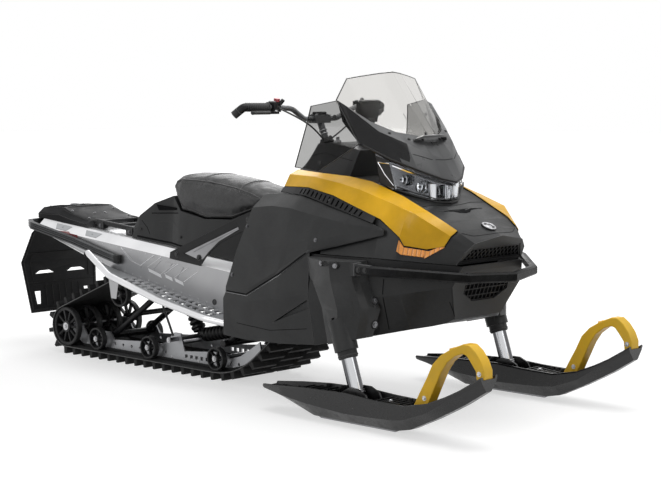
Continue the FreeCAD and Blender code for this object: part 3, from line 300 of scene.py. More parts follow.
class SurfaceLife(EffectGroup):
    """Grain, smudges, fine scratches, edge wear that doubles as a painted edge highlight, and settled dust over any
    surface.
    """

    name = "Surface life"
    inputs = {"Grain Scale": 900.0, "Smudge Scale": 7.0, "Dust Level": 0.25}
    outputs = ("Grain", "Smudge", "Scratch", "Edge", "Dust")

    def fill(self, sheet: NodeSheet, entry: Node) -> Sequence[Socket]:
        """Lay out the five effects.

        Args:
            sheet: the group's node sheet.
            entry: the node that gives the inputs.

        Returns:
            The sockets of the effects.
        """
        place = sheet.coordinates()
        scale = entry.outputs["Grain Scale"]
        cells = sheet.add("TexVoronoi", feature="SMOOTH_F1", Randomness=0.9, Vector=place, Scale=scale)
        fine = sheet.add("TexNoise", Detail=3.0, Vector=place, Scale=scale)
        smudge = sheet.add("TexNoise", Detail=5.0, Roughness=0.62, Distortion=0.4, Vector=place,
                           Scale=entry.outputs["Smudge Scale"]).outputs["Fac"]
        stretch = sheet.add("Mapping", Vector=place, Scale=(1.2, 1.0, 22.0), Rotation=(0.2, 0.35, 0.5))
        hair = sheet.add("TexNoise", Scale=46.0, Detail=2.0, Vector=stretch.outputs["Vector"])
        edges = sheet.add("NewGeometry").outputs["Pointiness"]
        ridge = sheet.math("ADD", edges, sheet.math("MULTIPLY", smudge, 0.06))
        height = sheet.add("SeparateXYZ", Vector=place).outputs["Z"]
        low = sheet.math("SUBTRACT", 1.0, sheet.math("DIVIDE", height, entry.outputs["Dust Level"]))
        powder = sheet.add("TexNoise", Scale=60.0, Detail=6.0, Roughness=0.7, Vector=place).outputs["Fac"]
        return (sheet.math("ADD", cells.outputs["Distance"], fine.outputs["Fac"]),
                sheet.ramp(smudge, 0.36, 0.66),
                sheet.ramp(hair.outputs["Fac"], 0.63, 0.7),
                sheet.ramp(ridge, 0.555, 0.62),
                sheet.math("MULTIPLY", sheet.ramp(low, 0.0, 1.0), sheet.ramp(powder, 0.42, 0.7)))


class BrushedLines(EffectGroup):
    """Fine parallel lines of rolled or brushed metal."""

    name = "Brushed lines"
    inputs = {"Line Scale": 260.0, "Stretch": 60.0}
    outputs = ("Lines", "Cloud")

    def fill(self, sheet: NodeSheet, entry: Node) -> Sequence[Socket]:
        """Lay out stretched noise.

        Args:
            sheet: the group's node sheet.
            entry: the node that gives the inputs.

        Returns:
            The sockets of the lines and of the cloud.
        """
        place = sheet.coordinates()
        parts = sheet.add("SeparateXYZ", Vector=place).outputs
        drawn = sheet.math("DIVIDE", parts["X"], entry.outputs["Stretch"])
        joined = sheet.add("CombineXYZ", X=drawn, Y=parts["Y"], Z=parts["Z"]).outputs["Vector"]
        lines = sheet.add("TexNoise", Detail=4.0, Roughness=0.7, Vector=joined, Scale=entry.outputs["Line Scale"])
        cloud = sheet.add("TexNoise", Scale=5.0, Detail=4.0, Vector=place)
        return lines.outputs["Fac"], sheet.ramp(cloud.outputs["Fac"], 0.35, 0.7)


# Finishes

@dataclass(frozen=True)
class Finish:
    """A surface finish that becomes one material."""

    name: str
    colour: Colour
    roughness: float = 0.4
    slot: str = "plastic_black"

    def material(self) -> bpy.types.Material:
        """Return the finish's material, built at its first use.

        Returns:
            The material.
        """
        found = bpy.data.materials.get(self.name)
        if found:
            return found
        material = bpy.data.materials.new(self.name)
        material.use_nodes = True
        material.diffuse_color = (*self.colour, 1.0)
        sheet = NodeSheet(material.node_tree)
        shader = material.node_tree.nodes["Principled BSDF"]
        values = {"Base Color": self.colour, "Roughness": self.roughness, **self.shade(sheet)}
        for name, value in values.items():
            sheet.feed(shader.inputs[name], value)
        return material

    def shade(self, sheet: NodeSheet) -> dict[str, object]:
        """Lay out the finish's nodes.

        Args:
            sheet: the material's node sheet.

        Returns:
            Values or sockets for the shader's inputs.
        """
        raise NotImplementedError

    def darker(self, share: float) -> Colour:
        """Return a share of the finish's colour."""
        return tuple(part * share for part in self.colour)


@dataclass(frozen=True)
class Moulded(Finish):
    """Moulded plastic or rubber with grain, smudges, scuffed edges that double as a painted edge highlight, and
    powder.
    """

    grain_scale: float = 900.0
    grain_depth: float = 0.00012
    smudge: float = 0.14
    smudge_tone: float = 0.82
    # Edge wear and painted highlight: convex edges are lightened towards this colour, which scratches share.
    edge_wear_and_highlight_colour: Colour = (0.2, 0.2, 0.2)
    edge_wear_and_highlight_share: float = 0.35
    dust_colour: Colour = (0.32, 0.32, 0.33)
    dust_share: float = 0.12
    dust_level: float = 0.9
    dust_roughness: float = 0.25
    scratch: float = 0.12
    coat: float = 0.0
    coat_roughness: float = 0.12
    specular: float = 0.5
    second: Colour = (0.006, 0.006, 0.0065)
    second_by: str = ""
    second_from: float = 0.0
    second_blend: float = 0.004

    def split(self, sheet: NodeSheet, tone: Socket) -> Socket:
        """Give part of the surface its second colour, by height or by the way that it looks. On the belly pan and the
        bumper the second colour is painted shade.

        Args:
            sheet: the material's node sheet.
            tone: the first colour.

        Returns:
            The colour of both parts.
        """
        if not self.second_by:
            return tone
        kind, axis = self.second_by.split()
        part = sheet.add("SeparateXYZ", Vector=sheet.coordinates(kind)).outputs[axis]
        limit = self.second_from + self.second_blend
        return sheet.mix(sheet.ramp(sheet.math("ABSOLUTE", part), self.second_from, limit), tone, self.second)

    def shade(self, sheet: NodeSheet) -> dict[str, object]:
        """Lay the shared surface effects over the plastic.

        Args:
            sheet: the material's node sheet.

        Returns:
            Values or sockets for the shader's inputs.
        """
        life = SurfaceLife().place(sheet, Grain_Scale=self.grain_scale, Dust_Level=self.dust_level)
        tone = self.split(sheet, sheet.mix(life["Smudge"], self.colour, self.darker(self.smudge_tone)))
        # Edge wear and painted highlight: convex edges are lightened.
        worn_and_lit_edges = sheet.cover(tone, life["Edge"], self.edge_wear_and_highlight_share, self.edge_wear_and_highlight_colour)
        cut = sheet.cover(worn_and_lit_edges, life["Scratch"], self.scratch, self.edge_wear_and_highlight_colour)
        uneven = sheet.math("MULTIPLY_ADD", life["Smudge"], self.smudge, self.roughness - self.smudge / 2)
        return {
            "Base Color": sheet.cover(cut, life["Dust"], self.dust_share, self.dust_colour),
            "Roughness": sheet.math("MULTIPLY_ADD", life["Dust"], self.dust_roughness, uneven),
            "Specular IOR Level": self.specular,
            "Coat Weight": self.coat,
            "Coat Roughness": self.coat_roughness,
            "Normal": sheet.bump(life["Grain"], self.grain_depth),
        }


@dataclass(frozen=True)
class SheetMetal(Finish):
    """Metal with rolled lines, cloudy oxide, fine scratches, painted shade on upright faces and a painted dark
    reflection towards its sides.
    """

    line_scale: float = 260.0
    stretch: float = 60.0
    cloud_colour: Colour = (0.5, 0.5, 0.52)
    cloud_share: float = 0.35
    uneven: float = 0.16
    line_depth: float = 0.00005
    # Painted shade: upright faces are darkened towards this colour, as if the light came from above.
    upright_shade_share: float = 0.0
    upright_shade_colour: Colour = (0.2, 0.2, 0.2)
    # Painted reflection: all but the faces turned to the camera are darkened towards the side colour, standing in for
    # dark surroundings mirrored in the metal.
    side_reflection_share: float = 0.0
    side_colour: Colour = (0.05, 0.05, 0.055)
    dust_share: float = 0.1
    dust_colour: Colour = (0.4, 0.4, 0.4)
    scratch: float = 0.12

    def shade(self, sheet: NodeSheet) -> dict[str, object]:
        """Lay lines, cloud, painted shade on upright faces and a painted dark reflection on the sides over the metal.

        Args:
            sheet: the material's node sheet.

        Returns:
            Values or sockets for the shader's inputs.
        """
        brush = BrushedLines().place(sheet, Line_Scale=self.line_scale, Stretch=self.stretch)
        life = SurfaceLife().place(sheet, Grain_Scale=400.0, Dust_Level=0.6)
        tone = sheet.cover(self.colour, brush["Cloud"], self.cloud_share, self.cloud_colour)
        # Painted shade: the more a face stands upright, the darker it is painted.
        slope = sheet.add("SeparateXYZ", Vector=sheet.coordinates("Normal")).outputs["Z"]
        upright = sheet.math("SUBTRACT", 1.0, sheet.ramp(sheet.math("ABSOLUTE", slope), 0.05, 0.7))
        shaded = sheet.cover(tone, upright, self.upright_shade_share, self.upright_shade_colour)
        # Painted reflection: the metal darkens away from the faces turned to the camera.
        facing = sheet.ramp(sheet.add("LayerWeight", Blend=0.4).outputs["Facing"], 0.035, 0.17)
        sided = sheet.cover(shaded, facing, self.side_reflection_share, self.side_colour)
        spread = sheet.math("MULTIPLY_ADD", brush["Lines"], self.uneven, self.roughness - self.uneven / 2)
        return {
            "Base Color": sheet.cover(sided, life["Dust"], self.dust_share, self.dust_colour),
            "Metallic": 1.0,
            "Roughness": sheet.math("MULTIPLY_ADD", life["Scratch"], self.scratch, spread),
            "Normal": sheet.bump(brush["Lines"], self.line_depth),
        }


@dataclass(frozen=True)
class ClearSheet(Finish):
    """Clear or tinted plastic sheet with faint smudges."""

    bend: float = 1.12
    smudge: float = 0.05

    def shade(self, sheet: NodeSheet) -> dict[str, object]:
        """Make the shader a thin see-through sheet.

        Args:
            sheet: the material's node sheet.

        Returns:
            Values or sockets for the shader's inputs.
        """
        life = SurfaceLife().place(sheet, Grain_Scale=300.0, Smudge_Scale=5.0)
        uneven = sheet.math("MULTIPLY_ADD", life["Smudge"], self.smudge, self.roughness)
        return {"Transmission Weight": 1.0, "IOR": self.bend, "Roughness": uneven}


@dataclass(frozen=True)
class Glow(Finish):
    """White glass that gives a little light of its own."""

    strength: float = 1.4
    smudge_tone: float = 0.75

    def shade(self, sheet: NodeSheet) -> dict[str, object]:
        """Make the shader softly lit glass.

        Args:
            sheet: the material's node sheet.

        Returns:
            Values or sockets for the shader's inputs.
        """
        life = SurfaceLife().place(sheet, Grain_Scale=500.0, Smudge_Scale=30.0)
        tone = sheet.mix(life["Smudge"], self.colour, self.darker(self.smudge_tone))
        return {"Base Color": tone, "Emission Color": tone, "Emission Strength": self.strength, "Coat Weight": 1.0}


@dataclass(frozen=True)
class RibbedLens(Finish):
    """Coloured lens with moulded ribs behind a glossy face."""

    rib_scale: float = 60.0
    rib_depth: float = 0.0008
    dot_scale: float = 260.0
    glow: float = 0.0

    def shade(self, sheet: NodeSheet) -> dict[str, object]:
        """Lay upright ribs and fine dots under a clear coat.

        Args:
            sheet: the material's node sheet.

        Returns:
            Values or sockets for the shader's inputs.
        """
        place = sheet.coordinates()
        ribs = sheet.add("TexWave", wave_type="BANDS", bands_direction="X", Scale=self.rib_scale, Distortion=0.0,
                         Vector=place).outputs["Fac"]
        dots = sheet.add("TexVoronoi", feature="F1", Scale=self.dot_scale, Vector=place).outputs["Distance"]
        deep = self.darker(0.5)
        speck = sheet.cover(sheet.mix(sheet.ramp(ribs, 0.02, 0.3), deep, self.colour), dots, 0.3, deep)
        return {
            "Base Color": speck,
            "Emission Color": speck,
            "Emission Strength": self.glow,
            "Coat Weight": 1.0,
            "Coat Roughness": 0.04,
            "Normal": sheet.bump(ribs, self.rib_depth),
        }


@dataclass(frozen=True)
class Upholstery(Finish):
    """Grained seat vinyl with a soft sheen and rubbed patches."""

    side_colour: Colour = (0.02, 0.02, 0.021)
    grain_scale: float = 420.0
    grain_depth: float = 0.0004
    smudge: float = 0.12
    sheen: float = 0.06

    def shade(self, sheet: NodeSheet) -> dict[str, object]:
        """Lay leather grain and rubbed patches over the vinyl.

        Args:
            sheet: the material's node sheet.

        Returns:
            Values or sockets for the shader's inputs.
        """
        life = SurfaceLife().place(sheet, Grain_Scale=900.0, Smudge_Scale=9.0, Dust_Level=1.6)
        place = sheet.coordinates()
        bend = sheet.add("TexNoise", Scale=self.grain_scale * 0.6, Detail=2.0, Vector=place)
        drift = sheet.add("VectorMath", operation="SCALE", Scale=0.002)
        moved = sheet.add("VectorMath", operation="ADD")
        for socket, value in ((drift.inputs[0], bend.outputs["Color"]), (moved.inputs[0], place),
                              (moved.inputs[1], drift.outputs["Vector"])):
            sheet.feed(socket, value)
        hide = sheet.add("TexVoronoi", feature="DISTANCE_TO_EDGE", Scale=self.grain_scale,
                         Vector=moved.outputs["Vector"])
        cells = sheet.ramp(hide.outputs["Distance"], 0.0, 0.3)
        tone = sheet.mix(cells, self.side_colour, sheet.mix(life["Smudge"], self.colour, self.side_colour))
        return {
            "Base Color": sheet.cover(tone, life["Dust"], 0.1, (0.3, 0.3, 0.3)),
            "Roughness": sheet.math("MULTIPLY_ADD", life["Smudge"], self.smudge, self.roughness - self.smudge / 2),
            "Sheen Weight": self.sheen,
            "Sheen Roughness": 0.4,
            "Normal": sheet.bump(cells, self.grain_depth, 0.7),
        }


PANEL = {"roughness": 0.36, "slot": "body_grey", "grain_depth": 0.00006, "edge_wear_and_highlight_share": 0.2, "dust_share": 0.03,
         "scratch": 0.06}
COATED = {"grain_scale": 1500.0, "grain_depth": 0.00005}
RUBBERED = {"slot": "rubber_black", "grain_depth": 0.0002, "specular": 0.2}
FOLDED = {"slot": "tunnel_silver"}


class Look(Enum):
    """The finishes of the machine's pieces."""

    BODY = Moulded("Body grey plastic", (0.027, 0.0275, 0.028), grain_scale=1100.0, specular=0.22, **PANEL)
    # Painted shade: the belly pan's top ledge, above z 0.572, is painted near black for the shade under the hood.
    PAN = Moulded("Belly pan plastic", (0.027, 0.0275, 0.028), grain_scale=1100.0, specular=0.2,
                  second_by="Object Z", second_from=0.572, **PANEL)
    SATIN = Moulded("Visor grey satin", (0.082, 0.083, 0.085), 0.34, "body_grey", 1300.0, 0.00005, edge_wear_and_highlight_share=0.2,
                    specular=0.24, scratch=0.05, second_by="Normal Y", second_from=0.55)
    DECK = Moulded("Tail cover plastic", (0.018, 0.018, 0.019), 0.55, "body_grey", 800.0, 0.0001, edge_wear_and_highlight_share=0.3,
                   specular=0.1, dust_share=0.02, scratch=0.05)
    BLACK = Moulded("Black plastic", (0.0065, 0.0065, 0.007), 0.42, "plastic_black", 700.0, 0.00014, specular=0.2,
                    edge_wear_and_highlight_colour=(0.07, 0.07, 0.07), dust_share=0.02, scratch=0.04)
    # Deep black for seams and grooves, and for the sheets of painted shade behind the grilles and in the engine bay.
    MATT = Moulded("Deep black seams and painted shade", (0.0035, 0.0035, 0.004), 0.9, "plastic_black", 500.0, specular=0.12,
                   dust_share=0.0, edge_wear_and_highlight_share=0.0)
    SKI = Moulded("Ski plastic", (0.006, 0.006, 0.0065), 0.27, "ski_black", 420.0, 0.00008, specular=0.46,
                  dust_level=0.35, dust_share=0.03, edge_wear_and_highlight_colour=(0.1, 0.1, 0.1))
    YELLOW = Moulded("Golden yellow plastic", (0.78, 0.43, 0.012), 0.36, "accent_yellow", 300.0, 0.00002,
                     edge_wear_and_highlight_colour=(0.95, 0.7, 0.16), coat=0.1, dust_share=0.02, scratch=0.04, specular=0.2)
    # Painted light: a brighter copy of the accent yellow, standing in for the light on the top-lit loops.
    LOOP = Moulded("Ski loop yellow", (1.0, 0.58, 0.02), 0.36, "accent_yellow", 300.0, 0.00002,
                   edge_wear_and_highlight_colour=(1.0, 0.75, 0.2), coat=0.1, dust_share=0.0, scratch=0.08, specular=0.2)
    RUBBER = Moulded("Track rubber", (0.008, 0.008, 0.0085), 0.58, "rubber_black", 380.0, 0.0003, dust_share=0.1,
                     dust_level=0.5, edge_wear_and_highlight_share=0.4, specular=0.18, edge_wear_and_highlight_colour=(0.08, 0.08, 0.08))
    FLAP = Moulded("Flap rubber", (0.02, 0.02, 0.021), 0.5, grain_scale=500.0, dust_share=0.04, **RUBBERED)
    GRIP = Moulded("Grip rubber", (0.008, 0.008, 0.009), 0.5, grain_scale=500.0, dust_share=0.03, **RUBBERED)
    # Painted highlight: pale line along the belt's inner edges.
    BELT_HIGHLIGHT = Moulded("Belt edge painted highlight", (0.19, 0.19, 0.19), 0.6, "rubber_black", 600.0,
                        dust_colour=(0.4, 0.4, 0.4))
    CABLE = Moulded("Cable sheath", (0.006, 0.006, 0.006), 0.35, "cable_black", 900.0, 0.00003)
    VINYL = Upholstery("Seat vinyl", (0.019, 0.0193, 0.02), 0.42, "vinyl_black", (0.01, 0.01, 0.0105))
    PIPING = Moulded("Seat piping", (0.014, 0.014, 0.015), 0.4, "vinyl_black", 800.0)
    THREAD = Moulded("Seat thread", (0.1, 0.1, 0.1), 0.6, "vinyl_black", 1500.0)
    FRAME = Moulded("Black powder coat", (0.007, 0.007, 0.008), 0.3, "steel_black", specular=0.22,
                    edge_wear_and_highlight_colour=(0.12, 0.12, 0.12), dust_share=0.05, **COATED)
    # Painted shade: the bumper's faces that look forwards or backwards are near black; its lightened edges are partly
    # a painted highlight.
    BUMPER = Moulded("Bumper powder coat", (0.007, 0.007, 0.008), 0.28, "steel_black", edge_wear_and_highlight_share=0.3,
                     specular=0.06, dust_share=0.01, second=(0.001, 0.001, 0.001), second_by="Normal X",
                     second_from=0.6, **COATED)
    TUBE = Moulded("Handlebar grey", (0.13, 0.133, 0.14), 0.32, "bar_grey", specular=0.4, dust_share=0.02, **COATED)
    BAR = Moulded("Grey powder coat", (0.062, 0.064, 0.068), 0.34, "bar_grey", specular=0.3, dust_share=0.03,
                  **COATED)
    PALE = Moulded("Pale grey plastic", (0.34, 0.35, 0.36), 0.4, "bar_grey")
    WHEEL = Moulded("Wheel nylon", (0.009, 0.009, 0.01), 0.42, "wheel_black", 500.0, 0.0002, specular=0.22,
                    dust_share=0.06)
    KILL = Moulded("Red switch", (0.45, 0.012, 0.03), 0.35, "lens_red", 600.0)
    SCREEN = Moulded("Display glass", (0.004, 0.005, 0.007), 0.08, "plastic_black", 60.0, 0.0, coat=1.0,
                     coat_roughness=0.03)
    RED = RibbedLens("Dark red lens", (0.24, 0.008, 0.012), 0.2, "lens_red", 30.0, glow=0.06)
    AMBER = RibbedLens("Amber lens", (0.86, 0.3, 0.012), 0.25, "lens_amber", 22.0, glow=0.2)
    # Painted shade: the tunnel's upright sides are darkened, as if lit from above.
    SILVER = SheetMetal("Tunnel aluminium", (0.84, 0.84, 0.85), 0.38, upright_shade_share=0.75,
                        upright_shade_colour=(0.2, 0.2, 0.205), **FOLDED)
    HEM = SheetMetal("Pale aluminium", (0.76, 0.76, 0.77), 0.34, **FOLDED)
    PLATE = SheetMetal("Bracket aluminium", (0.2, 0.2, 0.205), 0.36, **FOLDED)
    # Painted shade: the boards' upright faces are darkened.
    TREAD = SheetMetal("Board aluminium", (0.4, 0.41, 0.42), 0.42, upright_shade_share=0.5, **FOLDED)
    RAIL = SheetMetal("Rail aluminium", (0.3, 0.305, 0.315), 0.42, "aluminium")
    STEEL = SheetMetal("Machined steel", (0.25, 0.25, 0.26), 0.35, "steel_grey", 500.0)
    BRIGHT = SheetMetal("Zinc plated steel", (0.5, 0.5, 0.51), 0.28, "steel_grey", 700.0)
    DARK = SheetMetal("Blackened steel", (0.09, 0.09, 0.095), 0.34, "steel_black", 700.0)
    # Painted reflection: dark bands down the leg's sides, with its middle left bright.
    CHROME = SheetMetal("Chromed leg", (0.62, 0.63, 0.65), 0.12, "leg_chrome", uneven=0.05, cloud_share=0.1,
                        side_reflection_share=0.9)
    # Painted shade: the reflector's upright faces are darkened.
    REFLECTOR = SheetMetal("Lamp reflector", (0.5, 0.505, 0.515), 0.12, "reflector_chrome", 40.0, uneven=0.04,
                           cloud_share=0.3, cloud_colour=(0.12, 0.12, 0.13), upright_shade_share=0.9,
                           upright_shade_colour=(0.07, 0.07, 0.075))
    RIM = SheetMetal("Lamp rim chrome", (0.85, 0.86, 0.88), 0.08, "reflector_chrome", uneven=0.04)
    CAST = SheetMetal("Cast housing", (0.12, 0.12, 0.125), 0.5, "cast_grey")
    CLEAR = ClearSheet("Clear screen", (0.72, 0.71, 0.69), 0.03, "screen_clear")
    SMOKED = ClearSheet("Smoked screen", (0.36, 0.36, 0.355), 0.05, "screen_smoked")
    LENS = ClearSheet("Lamp lens", (0.93, 0.94, 0.95), 0.01, "lens_clear")
    BULB = Glow("Lamp glass", (0.9, 0.92, 0.95), 0.08, "lens_clear")


# Mesh pieces

class Surface:
    """The skin of some frame nodes, which details are laid on."""

    def __init__(self, *nodes: str, mesh: bpy.types.Mesh | None = None) -> None:
        """Gather the nodes' faces.

        Args:
            nodes: the nodes' names.
            mesh: a mesh that stands in for nodes.
        """
        bm = bmesh.new()
        for source in [mesh] if mesh else [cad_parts[node].data for node in nodes]:
            bm.from_mesh(source)
        self.nodes = nodes
        self.tree = BVHTree.FromBMesh(bm)
        bm.free()

    def spot(self, view: View, first: float, second: float, lift: float = 0.0) -> Spot:
        """Find where a look from one side meets the skin.

        Args:
            view: the side that the look comes from.
            first: x, or y for a look from ahead or behind.
            second: z, or y for a look from the top.
            lift: how far the place stands off the skin.

        Returns:
            The place and the skin's outward direction there.
        """
        way = Vector(view.value)
        place, out, _, _ = self.tree.ray_cast(view.start(first, second), way)
        if place is None:
            raise ValueError("nothing of %s at %.3f, %.3f" % (self.nodes, first, second))
        if out.dot(way) > 0.0:
            out = -out
        return place + out * lift, out

    def spots(self, view: View, stops: Iterable[Stop], lift: float = 0.0) -> list[Spot]:
        """Find several spots seen from one side.

        Args:
            view: the side that they are seen from.
            stops: their two coordinates in that view.
            lift: how far they stand off the skin.

        Returns:
            Their places and outward directions.
        """
        return [self.spot(view, first, second, lift) for first, second in stops]

    def trace(self, view: View, stops: Sequence[Stop], lift: float = 0.0, step: float = 0.03) -> list[Vector]:
        """Lay a line of stops on the skin.

        Args:
            view: the side that the line is drawn from.
            stops: the line's corners in that view.
            lift: how far the line stands off the skin.
            step: the most that two points lie apart in that view.

        Returns:
            Points along the line.
        """
        points = []
        for (a, b), (c, d) in zip(stops, stops[1:]):
            count = max(1, math.ceil(math.hypot(c - a, d - b) / step))
            for index in range(count):
                share = index / count
                points.append(self.spot(view, a + (c - a) * share, b + (d - b) * share, lift)[0])
        points.append(self.spot(view, *stops[-1], lift)[0])
        return points


class Piece:
    """A mesh built with bmesh operators and finished as one object of the scene."""

    weld: ClassVar[float] = 0.00002
    flat: ClassVar[float] = 0.4

    def __init__(self, name: str) -> None:
        """Start an empty mesh for an object of this name."""
        self.name = name
        self.bm = bmesh.new()

    def take(self, node: str) -> "Piece":
        """Start from a merged copy of a frame node.

        Args:
            node: the node's name.

        Returns:
            This piece.
        """
        self.bm.from_mesh(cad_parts[node].data)
        bmesh.ops.remove_doubles(self.bm, verts=self.bm.verts, dist=self.weld)
        bmesh.ops.dissolve_limit(self.bm, angle_limit=math.radians(self.flat), verts=self.bm.verts,
                                 edges=self.bm.edges)
        return self

    def block(self, low: Point, high: Point) -> "Piece":
        """Add a box between two corners.

        Args:
            low: the lowest corner.
            high: the highest corner.

        Returns:
            This piece.
        """
        low, high = Vector(low), Vector(high)
        place = Matrix.Translation((high + low) / 2) @ Matrix.Diagonal((*(high - low), 1.0))
        bmesh.ops.create_cube(self.bm, size=1.0, matrix=place)
        return self

    def rod(self, start: Point, end: Point, radius: float, far_radius: float = -1.0, sides: int = 20) -> "Piece":
        """Add a round bar or a cone between two points.

        Args:
            start: the middle of the first end.
            end: the middle of the second end.
            radius: the first end's radius.
            far_radius: the second end's radius, or below 0 for the same.
            sides: the number of flats round it.

        Returns:
            This piece.
        """
        run = Vector(end) - Vector(start)
        turn = run.to_track_quat("Z", "Y").to_matrix().to_4x4()
        place = Matrix.Translation((Vector(start) + Vector(end)) / 2) @ turn
        far = radius if far_radius < 0.0 else far_radius
        bmesh.ops.create_cone(self.bm, cap_ends=True, segments=sides, radius1=radius, radius2=far,
                              depth=run.length, matrix=place)
        return self

    def dome(self, place: Point, radius: float, squeeze: Point = (1.0, 1.0, 1.0)) -> "Piece":
        """Add a ball.

        Args:
            place: its middle.
            radius: its radius.
            squeeze: its shares along x, y and z.

        Returns:
            This piece.
        """
        shape = Matrix.Translation(Vector(place)) @ Matrix.Diagonal((*squeeze, 1.0))
        bmesh.ops.create_uvsphere(self.bm, u_segments=16, v_segments=10, radius=radius, matrix=shape)
        return self

    def ring(self, centre: Point, axis: Point, radius: float, section: float, sides: int = 28,
             section_sides: int = 8) -> "Piece":
        """Add a round ring by a full spin of its section.

        Args:
            centre: the ring's middle.
            axis: its axle.
            radius: from the middle to the section's middle.
            section: the section's radius.
            sides: the number of steps round the ring.
            section_sides: the number of flats round the section.

        Returns:
            This piece.
        """
        axle = Vector(axis).normalized()
        side = axle.orthogonal().normalized()
        turn = Matrix((side, axle, side.cross(axle))).transposed().to_4x4()
        place = Matrix.Translation(Vector(centre) + side * radius) @ turn
        old = set(self.bm.faces)
        circle = bmesh.ops.create_circle(self.bm, cap_ends=False, segments=section_sides, radius=section,
                                         matrix=place)["verts"]
        edges = list({edge for vert in circle for edge in vert.link_edges})
        bmesh.ops.spin(self.bm, geom=circle + edges, cent=Vector(centre), axis=axle, angle=math.tau,
                       steps=sides, use_merge=True)
        bmesh.ops.recalc_face_normals(self.bm, faces=[face for face in self.bm.faces if face not in old])
        return self

    def rings(self, foot: Vector, way: Vector, steps: Iterable[Stop], section: float, sides: int = 32,
              section_sides: int = 8) -> "Piece":
        """Add rings along one axle.

        Args:
            foot: the point that their places are counted from.
            way: the axle, with a length of 1.
            steps: each ring's place along the axle and its radius.
            section: their sections' radius.
            sides: the number of steps round a ring.
            section_sides: the number of flats round a section.

        Returns:
            This piece.
        """
        for step, radius in steps:
            self.ring(foot + way * step, way, radius, section, sides, section_sides)
        return self

    def plate(self, outline: Sequence[Point], reach: Point) -> "Piece":
        """Add a flat plate: an outline extruded along one way.

        Args:
            outline: the corners of one side.
            reach: from one side of the plate to the other.

        Returns:
            This piece.
        """
        corners = [self.bm.verts.new(point) for point in outline]
        grown = bmesh.ops.extrude_face_region(self.bm, geom=[self.bm.faces.new(corners)])["geom"]
        tops = [part for part in grown if isinstance(part, bmesh.types.BMVert)]
        bmesh.ops.translate(self.bm, vec=Vector(reach), verts=tops)
        rim = {edge for vert in corners + tops for edge in vert.link_edges if edge.is_boundary}
        bmesh.ops.holes_fill(self.bm, edges=list(rim), sides=0)
        skin = {near for vert in corners + tops for near in vert.link_faces}
        bmesh.ops.recalc_face_normals(self.bm, faces=list(skin))
        return self

    def bead(self, points: Sequence[Point], radius: float, smooth: bool = False) -> "Piece":
        """Add a round bead along a line.

        Args:
            points: the line's points.
            radius: the bead's radius.
            smooth: whether the line runs smoothly between its points.

        Returns:
            This piece.
        """
        path = round_path("Bead path", points, radius, 1, smooth)
        mesh = bpy.data.meshes.new_from_object(path)
        self.bm.from_mesh(mesh)
        curve = path.data
        bpy.data.objects.remove(path)
        bpy.data.curves.remove(curve)
        bpy.data.meshes.remove(mesh)
        return self

    def seam(self, skin: Surface, view: View, stops: Sequence[Stop], radius: float, lift: float = 0.0,
             step: float = 0.03, smooth: bool = False) -> "Piece":
        """Add a bead that lies on a skin.

        Args:
            skin: the skin.
            view: the side that the line is drawn from.
            stops: the line's corners in that view.
            radius: the bead's radius.
            lift: how far its middle stands off the skin.
            step: the most that two of its points lie apart in that view.
            smooth: whether it runs smoothly between its points.

        Returns:
            This piece.
        """
        return self.bead(skin.trace(view, stops, lift, step), radius, smooth)

    def patch(self, skin: Surface, view: View, corners: Iterable[Stop], lift: float, reach: Point) -> "Piece":
        """Add a thin plate whose corners lie on a skin.

        Args:
            skin: the skin.
            view: the side that the plate is seen from.
            corners: its corners in that view.
            lift: how far it stands off the skin.
            reach: from one side of the plate to the other.

        Returns:
            This piece.
        """
        return self.plate([place for place, _ in skin.spots(view, corners, lift)], reach)

    def bolt(self, place: Point, out: Point, radius: float) -> "Piece":
        """Add a washer and a hex head that stand on a surface.

        Args:
            place: the point on the surface.
            out: the way out of the surface.
            radius: the head's radius.

        Returns:
            This piece.
        """
        foot, way = Vector(place), Vector(out).normalized()
        self.rod(foot - way * 0.002, foot + way * radius * 0.22, radius * 1.55, sides=18)
        self.rod(foot, foot + way * radius * 0.7, radius, sides=6)
        return self.rod(foot + way * radius * 0.7, foot + way * radius * 0.85, radius, radius * 0.8, 6)

    def bolts(self, spots: Iterable[Spot], radius: float) -> "Piece":
        """Add one bolt at each spot.

        Args:
            spots: the bolts' places and the ways out of the surface.
            radius: the heads' radius.

        Returns:
            This piece.
        """
        for place, out in spots:
            self.bolt(place, out, radius)
        return self

    def outline(self, node: str, keep: Callable[[bmesh.types.BMEdge], bool], radius: float,
                angle: float = 1.0) -> "Piece":
        """Lay thin rods along a node's sharp edges.

        Args:
            node: the frame node.
            keep: the test that an edge has to pass.
            radius: the rods' radius.
            angle: the least angle between an edge's faces, in radians.

        Returns:
            This piece.
        """
        source = Piece(node + "_edges").take(node)
        for edge in source.bm.edges:
            if len(edge.link_faces) == 2 and edge.calc_face_angle(0.0) > angle and keep(edge):
                self.rod(edge.verts[0].co, edge.verts[1].co, radius, sides=6)
        source.bm.free()
        return self

    def mirrored(self) -> "Piece":
        """Add the mirror image on the machine's other side.

        Returns:
            This piece.
        """
        whole = self.bm.verts[:] + self.bm.edges[:] + self.bm.faces[:]
        copy = bmesh.ops.duplicate(self.bm, geom=whole)["geom"]
        verts = [part for part in copy if isinstance(part, bmesh.types.BMVert)]
        bmesh.ops.scale(self.bm, vec=(1.0, -1.0, 1.0), verts=verts)
        bmesh.ops.reverse_faces(self.bm, faces=[part for part in copy if isinstance(part, bmesh.types.BMFace)])
        return self

